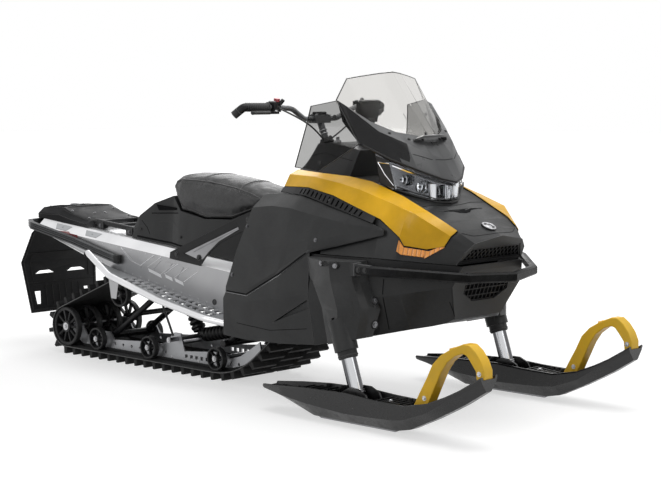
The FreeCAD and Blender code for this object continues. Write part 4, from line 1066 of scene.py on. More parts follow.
    def finish(self, look: Look, bevel: float = 0.0, body: Body = Body.CHASSIS, node: str = "",
               crease: float = 28.0) -> bpy.types.Object:
        """Make the object, dress it and hand it to the frame.

        Args:
            look: its finish.
            bevel: the width of its rounded edges, in metres.
            body: the moving body that it rides on.
            node: the frame node that it stands for.
            crease: the angle past which an edge stays sharp, in degrees.

        Returns:
            The object.
        """
        limit = math.radians(crease)
        for face in self.bm.faces:
            face.smooth = True
        for edge in self.bm.edges:
            edge.smooth = edge.is_manifold and edge.calc_face_angle(0.0) < limit
        mesh = bpy.data.meshes.new(self.name)
        self.bm.to_mesh(mesh)
        self.bm.free()
        mesh.materials.append(look.value.material())
        piece = bpy.data.objects.new(self.name, mesh)
        bpy.context.scene.collection.objects.link(piece)
        if bevel:
            edge = piece.modifiers.new("Rounded edges", "BEVEL")
            edge.width = bevel
            edge.segments = 2
            edge.limit_method = "ANGLE"
            edge.angle_limit = limit
            edge.harden_normals = True
        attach(piece, body.value)
        if node:
            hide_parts(node)
        log.info("%s: %d faces", self.name, len(mesh.polygons))
        return piece


@cache
def surface(*nodes: str) -> Surface:
    """Return the skin of some frame nodes, gathered at its first use."""
    return Surface(*nodes)


def round_path(name: str, points: Sequence[Point], radius: float, sides: int, smooth: bool) -> bpy.types.Object:
    """Make a round curve through or along some points.

    Args:
        name: the curve's name.
        points: its points.
        radius: its radius.
        sides: the bevel resolution of its section.
        smooth: whether it runs smoothly between its points.

    Returns:
        The curve's object, not yet in the scene.
    """
    curve = bpy.data.curves.new(name, "CURVE")
    curve.dimensions = "3D"
    curve.bevel_depth = radius
    curve.bevel_resolution = sides
    curve.use_fill_caps = True
    line = curve.splines.new("NURBS" if smooth else "POLY")
    line.points.add(len(points) - 1)
    for knot, point in zip(line.points, points):
        knot.co = (*point, 1.0)
    if smooth:
        line.order_u = 3
        line.use_endpoint_u = True
    return bpy.data.objects.new(name, curve)


@dataclass(frozen=True)
class Skin:
    """How one frame node is dressed."""

    node: str
    look: Look
    bevel: float = 0.001
    crease: float = 28.0
    body: Body = Body.CHASSIS


class Assembly:
    """A sub-assembly that dresses its frame nodes and adds its own pieces."""

    skins: ClassVar[tuple[Skin, ...]] = ()

    def build(self) -> None:
        """Dress the nodes and add the details."""
        for skin in self.skins:
            piece = Piece(skin.node + "_skin").take(skin.node)
            piece.finish(skin.look, skin.bevel, skin.body, skin.node, skin.crease)
        self.details()

    def details(self) -> None:
        """Add the pieces that only the scene has."""


@dataclass
class RunningGear(Assembly):
    """Track, skid and drive."""

    skins = (
        Skin("track", Look.RUBBER, 0.0),
        Skin("skid_wheels", Look.WHEEL),
        Skin("drive_axle", Look.STEEL),
        Skin("rails", Look.RAIL, 0.0006),
        Skin("sliders", Look.BLACK),
        Skin("wheel_axles", Look.STEEL),
        Skin("skid_arms", Look.FRAME, 0.0),
        Skin("skid_springs", Look.FRAME, 0.0),
    )

    track_half: float = 0.203
    track_middle: Point = (-0.5, 0.0, 0.2)
    belt_highlight_radius: float = 0.0017
    wheels: tuple[tuple[float, float, float, float], ...] = (
        (-1.22, 0.129, 0.196, 0.092), (-0.838, 0.318, 0.184, 0.062), (-1.01, 0.0893, 0.184, 0.052),
        (-0.64, 0.0893, 0.184, 0.052), (-0.19, 0.0893, 0.184, 0.052))
    cross_shaft: Point = (-0.48, 0.196, 0.142)
    spring_middle: Point = (-0.6, 0.174, 0.362)
    coil_pitch: float = 0.0092
    rail_face: float = 0.144
    rail_foot: float = 0.056
    rail_width: float = 0.008
    screw_stations: tuple[float, ...] = (-1.12, -0.99, -0.7, -0.52, -0.34, -0.22, -0.11)

    def details(self) -> None:
        """Add wheel ridges and caps, spring coils, rail screws and a painted highlight along the belt's edges."""
        self.belt_edge_highlights()
        ridges, caps = Piece("wheel_ridges"), Piece("bearing_caps")
        for x, z, face, radius in self.wheels:
            ridges.ring((x, face, z), Y_AXIS, radius * 0.92, 0.003, 36, 6)
            ridges.ring((x, face, z), Y_AXIS, radius * 0.26, 0.003, 20, 6)
            caps.rod((x, face - 0.002, z), (x, face + 0.004, z), radius * 0.2)
            caps.bolt((x, face + 0.004, z), Y_AXIS, 0.008)
        ridges.mirrored().finish(Look.WHEEL)
        caps.bolt(self.cross_shaft, Y_AXIS, 0.008).mirrored().finish(Look.BRIGHT, 0.0004)
        turns = [(turn * self.coil_pitch, 0.0215) for turn in range(-2, 3)]
        coils = Piece("spring_turns").rings(Vector(self.spring_middle), Vector(Y_AXIS), turns, 0.0044, 28)
        coils.mirrored().finish(Look.FRAME)
        screws = Piece("rail_screws")
        for x in self.screw_stations:
            screws.bolt((x, self.rail_face, self.rail_foot), Y_AXIS, 0.004)
            screws.bolt((x, self.rail_face - self.rail_width, self.rail_foot), (0, -1, 0), 0.004)
        screws.mirrored().finish(Look.BRIGHT)

    def belt_edge_highlights(self) -> None:
        """Run a pale line along both edges of the belt's inner face, as a painted highlight."""
        track = Piece("track_faces").take("track")
        piece = Piece("belt_edge_highlights")
        middle = Vector(self.track_middle)
        for face in track.bm.faces:
            ys = [vert.co.y for vert in face.verts]
            inward = face.normal.dot(middle - face.calc_center_median()) > 0.0
            if not inward or max(ys) - min(ys) < 1.9 * self.track_half:
                continue
            for edge in face.edges:
                start, end = (vert.co for vert in edge.verts)
                if min(start.y, end.y) > self.track_half - 0.001 and (end - start).length > 0.002:
                    out = face.normal * -0.003
                    piece.rod(start + out, end + out, self.belt_highlight_radius, sides=6)
        track.bm.free()
        piece.mirrored().finish(Look.BELT_HIGHLIGHT)


@dataclass
class Tunnel(Assembly):
    """Tunnel, boards, tail and rack."""

    skins = (
        Skin("tunnel", Look.SILVER, 0.0),
        Skin("running_boards", Look.TREAD, 0.0),
        Skin("board_rails", Look.HEM, 0.0),
        Skin("side_frames", Look.BLACK),
        Skin("snow_flap", Look.FLAP),
        Skin("rear_bumper", Look.BAR, 0.0006),
        Skin("red_lamps", Look.RED, 0.0006),
        Skin("rear_deck", Look.DECK, 0.003),
        Skin("cargo_rack", Look.FRAME),
    )

    side_y: float = 0.215
    foot_stops: Line = ((-1.405, 0.584), (-0.866, 0.432), (-0.122, 0.309), (0.143, 0.266), (0.43, 0.262))
    hem_stations: tuple[float, ...] = (-1.395, -1.2, -1.0, -0.866, -0.6, -0.3, -0.122, 0.04)
    grommet: Stop = (-0.156, 0.344)
    pads: tuple[float, ...] = (-1.012, -1.235)
    embosses: tuple[Point, ...] = ((-0.592, -0.505, 0.458), (-0.478, -0.43, 0.44), (-0.413, -0.358, 0.428))
    highlight_strokes: Line = ((-0.642, 0.467), (-0.596, 0.462), (-0.505, 0.438), (-0.482, 0.44), (-0.418, 0.428),
                                 (-0.352, 0.416))
    long_highlight_stroke: Line = ((-0.78, 0.537), (-0.713, 0.483), (-0.637, 0.463))
    reflector: Line = ((-1.31, 0.583), (-1.152, 0.572), (-1.166, 0.55), (-1.24, 0.562))
    reflector_top: tuple[Point, ...] = ((-1.31, 0.2192, 0.5853), (-1.168, 0.2082, 0.5838), (-1.152, 0.2192, 0.5733))
    slot_rows: tuple[float, ...] = (0.24, 0.292)
    slot_start: float = -0.64
    slot_pitch: float = 0.042
    slot_count: int = 14
    frame_field: Line = ((-0.340, 0.542), (-0.285, 0.5645), (-0.002, 0.677), (0.003, 0.668),
                                     (-0.121, 0.609), (-0.184, 0.561), (-0.2245, 0.5245), (-0.252, 0.521))
    frame_floor: float = 0.2183
    frame_bolts: Line = ((-0.247, 0.529), (-0.392, 0.533), (0.062, 0.712))
    flap_lines: tuple[tuple[Line, float], ...] = (
        (((0.19, 0.57), (0.214, 0.415), (0.189, 0.18)), 0.0035),
        (((0.0, 0.455), (0.212, 0.455)), 0.003),
        (((0.0, 0.31), (0.198, 0.31)), 0.003),
        (((0.0, 0.18), (0.189, 0.18)), 0.0035),
        (((0.02, 0.295), (0.02, 0.195)), 0.0028),
        (((0.06, 0.295), (0.06, 0.195)), 0.0028),
        (((0.1, 0.295), (0.1, 0.195)), 0.0028),
        (((0.176, 0.44), (0.17, 0.325)), 0.0028))
    groove_line: Line = ((-0.83, 0.488), (-1.11, 0.548), (-1.39, 0.601))
    groove_steps: tuple[float, ...] = (-0.008, 0.002, 0.011)
    anchor: Point = (-1.33, 0.0, 0.6915)
    ring_middle: Stop = (-1.393, 0.0)
    deck_lines: tuple[Line, ...] = (
        ((-1.433, 0.057), (-1.433, 0.143), (-1.307, 0.143), (-1.307, 0.057), (-1.433, 0.057)),
        ((-1.285, 0.0), (-1.285, 0.15), (-1.11, 0.146)))
    deck_side_line: Line = ((-1.47, 0.652), (-1.29, 0.655), (-1.2, 0.636), (-1.1, 0.622))
    deck_screws: Line = ((-1.25, 0.125), (-1.13, 0.12), (-1.455, 0.1), (-1.2, 0.03))
    rack_ends: Line = ((-1.085, -1.0), (-0.785, 1.0))
    rack_y: float = 0.112

    def details(self) -> None:
        """Add rivets, painted highlights on the pressings, board teeth, brackets' inlays, flap ribs, tail fittings and
        rack caps.
        """
        self.rivets()
        self.pressings()
        self.board_teeth()
        self.inlays()
        self.flap()
        self.grab_bar()
        self.tail_fittings()
        self.rack_caps()

    def foot(self, x: float) -> float:
        """Return the height of the tunnel side's lower edge.

        Args:
            x: the station along the machine.

        Returns:
            The edge's z there.
        """
        for (x0, z0), (x1, z1) in zip(self.foot_stops, self.foot_stops[1:]):
            if x <= x1:
                break
        return z0 + (z1 - z0) * (x - x0) / (x1 - x0)

    def bend(self, x: float) -> float:
        """Return the height of the tunnel's upper bend."""
        return 0.476 - 0.086 * x

    def rivets(self) -> None:
        """Rivet the tunnel's sides along the foot and the bend, line its service hole and hem its foot."""
        y = self.side_y
        heads = Piece("tunnel_rivets")
        for x, z in ((x, self.foot(x) + 0.017) for x in (-1.36 + index * 0.055 for index in range(27))):
            heads.rod((x, y - 0.001, z), (x, y + 0.0018, z), 0.0042, 0.0022, 10)
        for x, z in ((x, self.bend(x) - 0.008) for x in (-1.36 + index * 0.05 for index in range(20))):
            heads.rod((x, y - 0.001, z), (x, y + 0.0014, z), 0.0032, 0.0018, 8)
        heads.mirrored().finish(Look.BRIGHT)
        x, z = self.grommet
        hole = Piece("tunnel_grommet").ring((x, y, z), Y_AXIS, 0.011, 0.0025)
        hole.rod((x, y - 0.001, z), (x, y + 0.0006, z), 0.01).mirrored().finish(Look.GRIP)
        hem = [(x, y + 0.0005, self.foot(x) + 0.0035) for x in self.hem_stations]
        Piece("tunnel_hems").bead(hem, 0.0032).mirrored().finish(Look.HEM)

    def pressings(self) -> None:
        """Raise the anchor pads, lay pale plates and beads on the pressed embosses as their painted highlight, and fit
        the side reflectors.
        """
        top = surface("tunnel")
        pads = Piece("anchor_pads")
        for x in self.pads:
            corners = ((x - 0.058, 0.184), (x + 0.058, 0.184), (x + 0.038, 0.207), (x - 0.038, 0.207))
            pads.patch(top, View.TOP, corners, 0.0005, (0.0, 0.0, 0.0015))
            pads.bolt(*top.spot(View.TOP, x, 0.194, 0.001), 0.004)
        pads.mirrored().finish(Look.TREAD, 0.0005)
        y = self.side_y + 0.0006
        # Painted highlight: raised pale plates stand for the lit lower ends of the pressed embosses.
        marks = Piece("tunnel_lit_embosses")
        for x0, x1, z in self.embosses:
            far = z - (x1 - x0) * 0.25
            marks.plate([(x0, y, z), (x1, y, far), (x1 + 0.006, y, far - 0.016), (x0 + 0.008, y, z - 0.016)],
                        (0.0, 0.0018, 0.0))
        marks.mirrored().finish(Look.HEM, 0.0005)
        # Painted highlight: pale beads along the pressed lines.
        highlight_strokes = Piece("tunnel_highlight_strokes")
        for line in (self.long_highlight_stroke, *(((x, z), (x + 0.094, z + 0.052)) for x, z in self.highlight_strokes)):
            highlight_strokes.bead([(a, y, b) for a, b in line], 0.0017)
        highlight_strokes.mirrored().finish(Look.HEM)
        lens = Piece("side_reflectors").plate([(x, y, z) for x, z in self.reflector], (0.0, 0.003, 0.0))
        lens.plate(self.reflector_top, (0.0001, 0.0013, 0.0015)).mirrored().finish(Look.RED, 0.0006)

    def board_teeth(self) -> None:
        """Stand gripping teeth along both sides of every slot in the running boards, and cap the edge tubes."""
        board = surface("running_boards")
        teeth = Piece("board_teeth")
        for index in range(self.slot_count):
            x = self.slot_start + index * self.slot_pitch
            for row in self.slot_rows:
                for side in (x - 0.004, x + 0.028):
                    z = board.spot(View.TOP, side, row + 0.017)[0].z
                    teeth.block((side - 0.0015, row + 0.001, z - 0.001), (side + 0.0015, row + 0.033, z + 0.0045))
        teeth.mirrored().finish(Look.HEM, 0.0008)
        tube = Piece("board_tube_ends").take("board_rails")
        low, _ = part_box("board_rails")
        rim = [vert.co.copy() for vert in tube.bm.verts if vert.co.y > 0.0 and vert.co.x < low.x + 0.006]
        tube.bm.free()
        caps = Piece("board_tube_caps").dome(sum(rim, Vector()) / len(rim), 0.0142, (0.5, 1.0, 1.0))
        caps.mirrored().finish(Look.BLACK)

    def inlays(self) -> None:
        """Lay the silver fields and the bolts of the side brackets."""
        y = self.frame_floor
        fields = Piece("bracket_inlays").plate([(x, y, z) for x, z in self.frame_field], (0.0, 0.0012, 0.0))
        fields.bead([(-0.283, y + 0.0015, 0.553), (0.0, y + 0.0015, 0.672)], 0.002)
        fields.mirrored().finish(Look.PLATE, 0.0004)
        spots = [((x, self.side_y + 0.005, z), Y_AXIS) for x, z in self.frame_bolts]
        Piece("bracket_bolts").bolts(spots, 0.009).mirrored().finish(Look.FRAME)

    def flap(self) -> None:
        """Raise the flap's rims, bands and ribs on both faces, and bolt its top to the tunnel."""
        flap = surface("snow_flap")
        ribs = Piece("flap_ribs")
        for view in (View.AHEAD, View.BEHIND):
            for line, radius in self.flap_lines:
                ribs.seam(flap, view, line, radius, 0.001)
        ribs.mirrored().finish(Look.RUBBER)
        bolts = Piece("flap_bolts").bolts(flap.spots(View.BEHIND, ((0.04, 0.6), (0.13, 0.6))), 0.007)
        bolts.mirrored().finish(Look.BRIGHT)

    def grab_bar(self) -> None:
        """Close the grab bar's front ends with black caps and groove its sides."""
        side = self.side_y + 0.002
        tips = Piece("grab_bar_tips").block((-0.812, side - 0.0005, 0.4655), (-0.779, side + 0.0225, 0.5035))
        tips.mirrored().finish(Look.BLACK, 0.005)
        grooves = Piece("grab_bar_grooves")
        for step in self.groove_steps:
            line = [(x, z + step) for x, z in self.groove_line]
            grooves.seam(surface("rear_bumper"), View.SIDE, line, 0.0011, -0.0003, 0.02)
        grooves.mirrored().finish(Look.MATT)

    def tail_fittings(self) -> None:
        """Dress the tail cover: a lifting ring, the anchor's rim, pocket rims, seams, screws and the lamp's rim."""
        deck = surface("rear_deck")
        x, y = self.ring_middle
        Piece("deck_ring").rod((x, y, 0.6915), (x, y, 0.6955), 0.023, 0.021, 36).finish(Look.PALE, 0.0008)
        Piece("deck_ring_middle").rod((x, y, 0.695), (x, y, 0.6963), 0.011, 0.0104, 28).finish(Look.BLACK)
        rims = Piece("deck_rims").ring(self.anchor, Z_AXIS, 0.0135, 0.0022)
        for line in self.deck_lines:
            rims.seam(deck, View.TOP, line, 0.002, 0.0005)
        rims.seam(deck, View.SIDE, self.deck_side_line, 0.002, 0.0005).mirrored().finish(Look.BLACK)
        Piece("deck_screws").bolts(deck.spots(View.TOP, self.deck_screws), 0.0045).mirrored().finish(Look.DARK)
        lamp = Piece("tail_lamp_rim").block((-1.489, -0.066, 0.6505), (-1.486, 0.066, 0.6715))
        lamp.finish(Look.BLACK, 0.002)

    def rack_caps(self) -> None:
        """Cap the rack's rails and bolt its feet."""
        caps = Piece("rack_caps")
        for x, way in self.rack_ends:
            z = self.bend(x) + 0.065
            caps.rod((x - way * 0.018, self.rack_y, z + way * 0.0015), (x + way * 0.004, self.rack_y, z), 0.0132)
        caps.mirrored().finish(Look.GRIP, 0.002)
        feet = [(x, self.bend(x) + 0.051) for x in (-1.04, -0.83)]
        Piece("rack_bolts").bolts(surface("cargo_rack").spots(View.SIDE, feet), 0.006).mirrored().finish(Look.DARK)


@dataclass
class Nose(Assembly):
    """Body panels, lamp, grilles and bumper."""

    skins = (
        Skin("belly_pan", Look.PAN, 0.0012),
        Skin("hood", Look.BODY, 0.0015),
        Skin("side_panels", Look.BODY, 0.0012),
        Skin("lower_panels", Look.BODY, 0.0012),
        Skin("strut_housings", Look.BODY, 0.003),
        Skin("accent_panels", Look.YELLOW, 0.0014),
        Skin("side_vents", Look.BLACK),
        Skin("marker_lamps", Look.AMBER, 0.0008),
        Skin("visor", Look.SATIN, 0.002),
        Skin("windshield", Look.CLEAR, 0.0, 8.0),
        Skin("side_screens", Look.SMOKED, 0.0),
        Skin("headlamp", Look.REFLECTOR),
        Skin("lamp_lens", Look.LENS, 0.0006),
        Skin("grille", Look.BLACK),
        Skin("lower_grille", Look.BLACK),
        Skin("front_bumper", Look.BUMPER, 0.0015),
        Skin("console", Look.BLACK, 0.003),
        Skin("instrument", Look.BLACK, 0.002),
        Skin("engine", Look.CAST, 0.004),
        Skin("front_frame", Look.FRAME, 0.0),
    )

    heart: Point = (0.7, 0.0, 0.7)
    # Painted shade: radius of the black line in the gaps round the accents.
    gap_shade_radius: float = 0.0028
    badge: Stop = (1.16, 0.0)
    scoop: Line = ((1.024, 0.11), (1.02, 0.05), (1.022, -0.001), (1.05, -0.001), (1.046, 0.028), (1.03, 0.055))
    scoop_crest: Line = ((1.024, 0.128), (1.02, 0.06), (1.03, 0.018))
    hood_lines: tuple[Line, ...] = (((1.15, 0.186), (1.183, 0.12), (1.204, 0.0)),
                                    ((0.985, 0.205), (0.975, 0.12), (0.99, 0.0)))
    wing: tuple[Point, ...] = ((1.062, 0.271, 0.657), (1.079, 0.258, 0.6535), (1.126, 0.2222, 0.6785),
                               (1.128, 0.2238, 0.669), (1.069, 0.2715, 0.6265))
    hinge: Line = ((0.742, 0.602), (0.808, 0.596))
    pod_bolts: Line = ((0.385, 0.374), (0.376, 0.462))
    panel_bolts: Line = ((0.18, 0.7), (0.13, 0.5), (0.62, 0.675))
    pod: Line = ((0.462, 0.468), (0.384, 0.474), (0.38, 0.436), (0.46, 0.42))
    side_seams: tuple[tuple[tuple[str, ...], Line, float, float], ...] = (
        (("belly_pan",), ((0.937, 0.545), (0.937, 0.47), (0.932, 0.35)), 0.0018, 0.0003),
        (("belly_pan",), ((1.125, 0.46), (1.117, 0.4)), 0.0016, 0.0002),
        (("side_panels", "lower_panels"), ((0.1, 0.431), (0.226, 0.4285), (0.423, 0.528), (0.575, 0.622)),
         0.0026, -0.0004),
        (("lower_panels",), ((0.14, 0.3), (0.34, 0.29), (0.56, 0.32)), FINE_SEAM, 0.0002))
    bowls: tuple[tuple[float, float, float, float], ...] = (
        (0.924, 0.036, 0.862, 0.026), (0.906, 0.096, 0.88, 0.026), (0.858, 0.152, 0.908, 0.022))
    lens_foot: tuple[Point, ...] = ((0.972, 0.0, 0.816), (0.956, 0.06, 0.82), (0.906, 0.14, 0.846),
                                    (0.868, 0.204, 0.872))
    brow: tuple[Point, ...] = ((0.977, 0.0, 0.887), (0.957, 0.06, 0.9), (0.901, 0.14, 0.934),
                               (0.842, 0.198, 0.966))
    lamp_corners: tuple[tuple[Point, ...], ...] = (
        ((0.776, 0.2068, 0.976), (0.812, 0.2068, 0.93), (0.858, 0.2068, 0.888)),
        ((0.776, 0.2068, 0.976), (0.835, 0.2068, 0.972)))
    fins: tuple[float, ...] = (0.003, 0.012, 0.021)
    cheek: tuple[Point, ...] = ((0.83, 0.2052, 0.984), (0.866, 0.2052, 0.876), (0.788, 0.2052, 0.891),
                                (0.764, 0.2052, 1.0))
    grille_field: Line = ((0.15, 0.668), (0.188, 0.608), (-0.188, 0.608), (-0.15, 0.668))
    intake_field: Line = ((0.136, 0.53), (0.136, 0.482), (0.07, 0.448), (-0.07, 0.448), (-0.136, 0.482),
                          (-0.136, 0.53))
    # Painted shade: the black sheets behind the grilles and in the bay.
    backing_depth: float = 0.012
    shade_liners: tuple[tuple[Point, Point], ...] = (
        ((0.5, 0.335, 0.58), (0.86, 0.355, 0.67)), ((0.5, 0.335, 0.48), (0.66, 0.355, 0.58)),
        ((1.04, 0.0, 0.53), (1.05, 0.2, 0.65)))
    vent_shade_liner: tuple[Point, ...] = ((0.42, 0.27, 0.852), (0.9, 0.32, 0.765), (0.9, 0.32, 0.66), (0.42, 0.27, 0.74))
    visor_line: Line = ((0.148, 1.012), (0.109, 1.0), (0.069, 0.986), (0.0, 0.983))
    visor_lip: Line = ((0.255, 1.042), (0.205, 0.987), (0.14, 0.948), (0.06, 0.913), (0.0, 0.899))
    strut: tuple[Point, ...] = ((0.888, -0.016, 1.052), (0.905, -0.02, 1.02), (0.905, 0.02, 1.02),
                                (0.888, 0.016, 1.052))
    screen_top: tuple[Point, ...] = ((0.604, 0.262, 1.216), (0.607, 0.205, 1.3), (0.628, 0.14, 1.31),
                                     (0.652, 0.06, 1.321), (0.662, 0.0, 1.326))
    screen_screws: Line = ((0.05, 1.062), (0.11, 1.064), (0.17, 1.088))
    wing_studs: Line = ((0.6, 1.07), (0.56, 0.97), (0.61, 1.15))
    boot_rings: Line = ((0.046, 0.028), (0.053, 0.024), (0.06, 0.0205))
    display: tuple[Point, Point] = ((0.5115, 0.0, 1.1275), (0.5335, 0.0, 1.2135))
    display_height: float = 0.062
    display_half: float = 0.05

    def details(self) -> None:
        """Add seams, painted shade in the accents' gaps, lamps, shade backings behind the meshes, hinges, screens'
        trim, dash fittings and engine ribs.
        """
        self.paint_gap_shade()
        self.hood_trim()
        self.marker_wings()
        self.side_trim()
        self.lamp_parts()
        self.backings()
        self.visor_trim()
        self.screen_trim()
        self.dash()
        self.display_parts()
        self.engine_ribs()
        self.bumper_parts()

    def inward(self, face: bmesh.types.BMFace) -> bool:
        """Tell whether a face looks towards the machine's middle."""
        return face.normal.dot((Vector(self.heart) - face.calc_center_median()).normalized()) > 0.55

    def paint_gap_shade(self) -> None:
        """Draw a thin black line round the foot of both accents, as painted shade in the gap between them and the
        body.
        """
        line = Piece("accent_gap_shade")
        line.outline("accent_panels", lambda edge: any(map(self.inward, edge.link_faces)), self.gap_shade_radius)
        line.finish(Look.MATT)

    def hood_trim(self) -> None:
        """Add the hood's round cap, scoop lips and seam lines."""
        hood = surface("hood")
        place, out = hood.spot(View.TOP, *self.badge)
        Piece("nose_badge").rod(place - out * 0.002, place + out * 0.003, 0.031, 0.0302, 40).finish(Look.BLACK, 0.0008)
        rim = Piece("nose_badge_rim").ring(place + out * 0.003, out, 0.0255, 0.0042, 40, 10)
        rim.rod(place + out * 0.003, place + out * 0.0045, 0.014, 0.011, 32).finish(Look.BRIGHT)
        scoop = Piece("hood_scoops").patch(hood, View.TOP, self.scoop, 0.0004, (0.0, 0.0, 0.001))
        scoop.mirrored().finish(Look.MATT)
        Piece("hood_creases").seam(hood, View.TOP, self.scoop_crest, 0.0022, 0.0002).mirrored().finish(Look.BODY)
        seams = Piece("hood_seams")
        for line in self.hood_lines:
            seams.seam(hood, View.TOP, line, FINE_SEAM)
        seams.mirrored().finish(Look.MATT)

    def marker_wings(self) -> None:
        """Run the amber markers forwards under the accents' tips."""
        corners = [Vector(corner) + Vector((0.0006, 0.0009, 0.0)) for corner in self.wing]
        Piece("marker_wings").plate(corners, (0.0012, 0.0018, 0.0)).mirrored().finish(Look.AMBER)

    def side_trim(self) -> None:
        """Add hinge straps, quarter-turn screws, pod recesses and seams on the sides."""
        housing = surface("strut_housings")
        ends = housing.spots(View.SIDE, self.hinge, 0.003)
        pods = housing.spots(View.AHEAD, self.pod_bolts)
        straps, bolts = Piece("panel_hinges").bead([place for place, _ in ends], 0.009), Piece("panel_bolts")
        for place, out in ends:
            straps.rod(place - out * 0.006, place + out * 0.006, 0.013)
            bolts.bolt(place + out * 0.006, out, 0.006)
        straps.mirrored().finish(Look.BLACK, 0.001)
        bolts.bolts(pods, 0.008).bolts(surface("side_panels").spots(View.SIDE, self.panel_bolts), 0.0055)
        bolts.mirrored().finish(Look.DARK)
        recess = Piece("pod_recesses").patch(housing, View.AHEAD, self.pod, 0.0006, (0.0012, 0.0006, 0.0))
        for place, out in pods:
            recess.ring(place, out, 0.0155, 0.003)
        recess.mirrored().finish(Look.BLACK)
        seams = Piece("pan_seams")
        for nodes, line, radius, lift in self.side_seams:
            seams.seam(surface(*nodes), View.SIDE, line, radius, lift)
        seams.mirrored().finish(Look.MATT)

    def lamp_parts(self) -> None:
        """Fit rims, bulbs and shades in the headlamp's bowls, and a black sill under its lens."""
        rims, bulbs, shades = Piece("lamp_rims"), Piece("lamp_bulbs"), Piece("lamp_shades")
        for x, y, z, radius in self.bowls:
            rims.ring((x - 0.001, y, z), X_AXIS, radius, 0.0022, 36)
            rims.ring((x - 0.014, y, z), X_AXIS, radius * 0.72, 0.0016, 30, 6)
            bulbs.rod((x - 0.03, y, z), (x - 0.02, y, z), radius * 0.3).dome((x - 0.02, y, z), radius * 0.3)
            shades.rod((x - 0.05, y, z), (x - 0.029, y, z), radius * 0.66)
            shades.rod((x - 0.013, y, z), (x - 0.006, y, z), radius * 0.22, radius * 0.12)
            shades.ring((x - 0.004, y, z), X_AXIS, radius * 1.1, 0.0026, 36, 6)
        rims.mirrored().finish(Look.RIM)
        bulbs.mirrored().finish(Look.BULB)
        shades.mirrored().finish(Look.BLACK)
        self.lamp_shapes()
        half = [Vector(place) for place in self.lens_foot]
        row = [Vector((place.x, -place.y, place.z)) for place in half[:0:-1]] + half
        sill = Piece("lamp_sill")
        for move, radius in (((-0.001, 0.0, 0.001), 0.006), ((0.004, 0.0, 0.012), 0.0024)):
            sill.bead([place + Vector(move) for place in row], radius)
        sill.finish(Look.BLACK)

    def lamp_shapes(self) -> None:
        """Add the lamp's silver brow, bright corners and fins, upright mirrors and dark cheeks."""
        brow = Piece("lamp_brow").bead(self.brow, 0.0055)
        for line in self.lamp_corners:
            brow.bead(line, 0.0026)
        for y in self.fins:
            brow.block((0.952, y - 0.0014, 0.834), (0.9635, y + 0.0014, 0.884))
        brow.mirrored().finish(Look.RIM)
        mirror = Piece("lamp_mirrors").rod((0.934, 0.066, 0.834), (0.934, 0.066, 0.892), 0.0155, sides=24)
        mirror.mirrored().finish(Look.HEM)
        Piece("lamp_cheeks").plate(self.cheek, (0.0, 0.0012, 0.0)).mirrored().finish(Look.BLACK)

    def backings(self) -> None:
        """Close the view behind both grilles and line the engine bay with deep black sheets, as painted shade inside
        the nose.
        """
        shade_backing = Piece("grille_shade_backing")
        for field, station, rake in ((self.grille_field, 1.218, 0.6), (self.intake_field, 1.211, 0.33)):
            shade_backing.plate([(station + rake * (z - 0.7) - self.backing_depth, y, z) for y, z in field], (-0.003, 0.0, 0.0))
        shade_backing.finish(Look.MATT)
        shade_liner = Piece("bay_shade_liners")
        for low, high in self.shade_liners:
            shade_liner.block(low, high)
        shade_liner.plate(self.vent_shade_liner, (0.0, -0.004, 0.0)).mirrored().finish(Look.MATT)

    def visor_trim(self) -> None:
        """Draw the visor's seam line and lower lip, and stand the windshield's strut on it."""
        visor = surface("visor")
        Piece("visor_seams").seam(visor, View.AHEAD, self.visor_line, FINE_SEAM).mirrored().finish(Look.MATT)
        Piece("visor_lip").seam(visor, View.AHEAD, self.visor_lip, 0.004).mirrored().finish(Look.BLACK)
        Piece("screen_strut").plate(self.strut, (-0.012, 0.0, 0.004)).finish(Look.BLACK, 0.002)

    def screen_trim(self) -> None:
        """Edge both screens, screw the windshield to its visor and stud the side screens."""
        top = [(x + 0.002, y, z - 0.002) for x, y, z in self.screen_top]
        Piece("windshield_edge").bead(top, 0.0024).mirrored().finish(Look.GRIP)
        screws = Piece("windshield_screws").bolts(surface("visor").spots(View.AHEAD, self.screen_screws), 0.0045)
        screws.mirrored().finish(Look.BLACK)
        Piece("side_screen_edges").outline("side_screens", lambda edge: True, 0.0012).finish(Look.GRIP)
        studs = Piece("side_screen_studs").bolts(surface("side_screens").spots(View.SIDE, self.wing_studs), 0.005)
        studs.mirrored().finish(Look.BLACK)

    def dash(self) -> None:
        """Fit the console's boot, creases and key switch."""
        console = surface("console")
        Piece("post_boot").rings(POST_FOOT, POST_WAY, self.boot_rings, 0.0045).finish(Look.GRIP)
        seams = Piece("console_seams")
        seams.seam(console, View.TOP, ((0.36, 0.075), (0.42, 0.085), (0.6, 0.14)), FINE_SEAM, 0.0002)
        seams.seam(console, View.SIDE, ((0.345, 0.985), (0.42, 1.0), (0.62, 0.975)), FINE_SEAM, 0.0002)
        seams.mirrored().finish(Look.MATT)
        place, out = console.spot(View.TOP, 0.42, -0.055)
        key = Piece("key_switch").rod(place - out * 0.003, place + out * 0.006, 0.015)
        key.ring(place + out * 0.006, out, 0.013, 0.002)
        key.block(place + Vector((-0.002, -0.009, 0.004)), place + Vector((0.002, 0.009, 0.022)))
        key.finish(Look.BRIGHT, 0.0006)

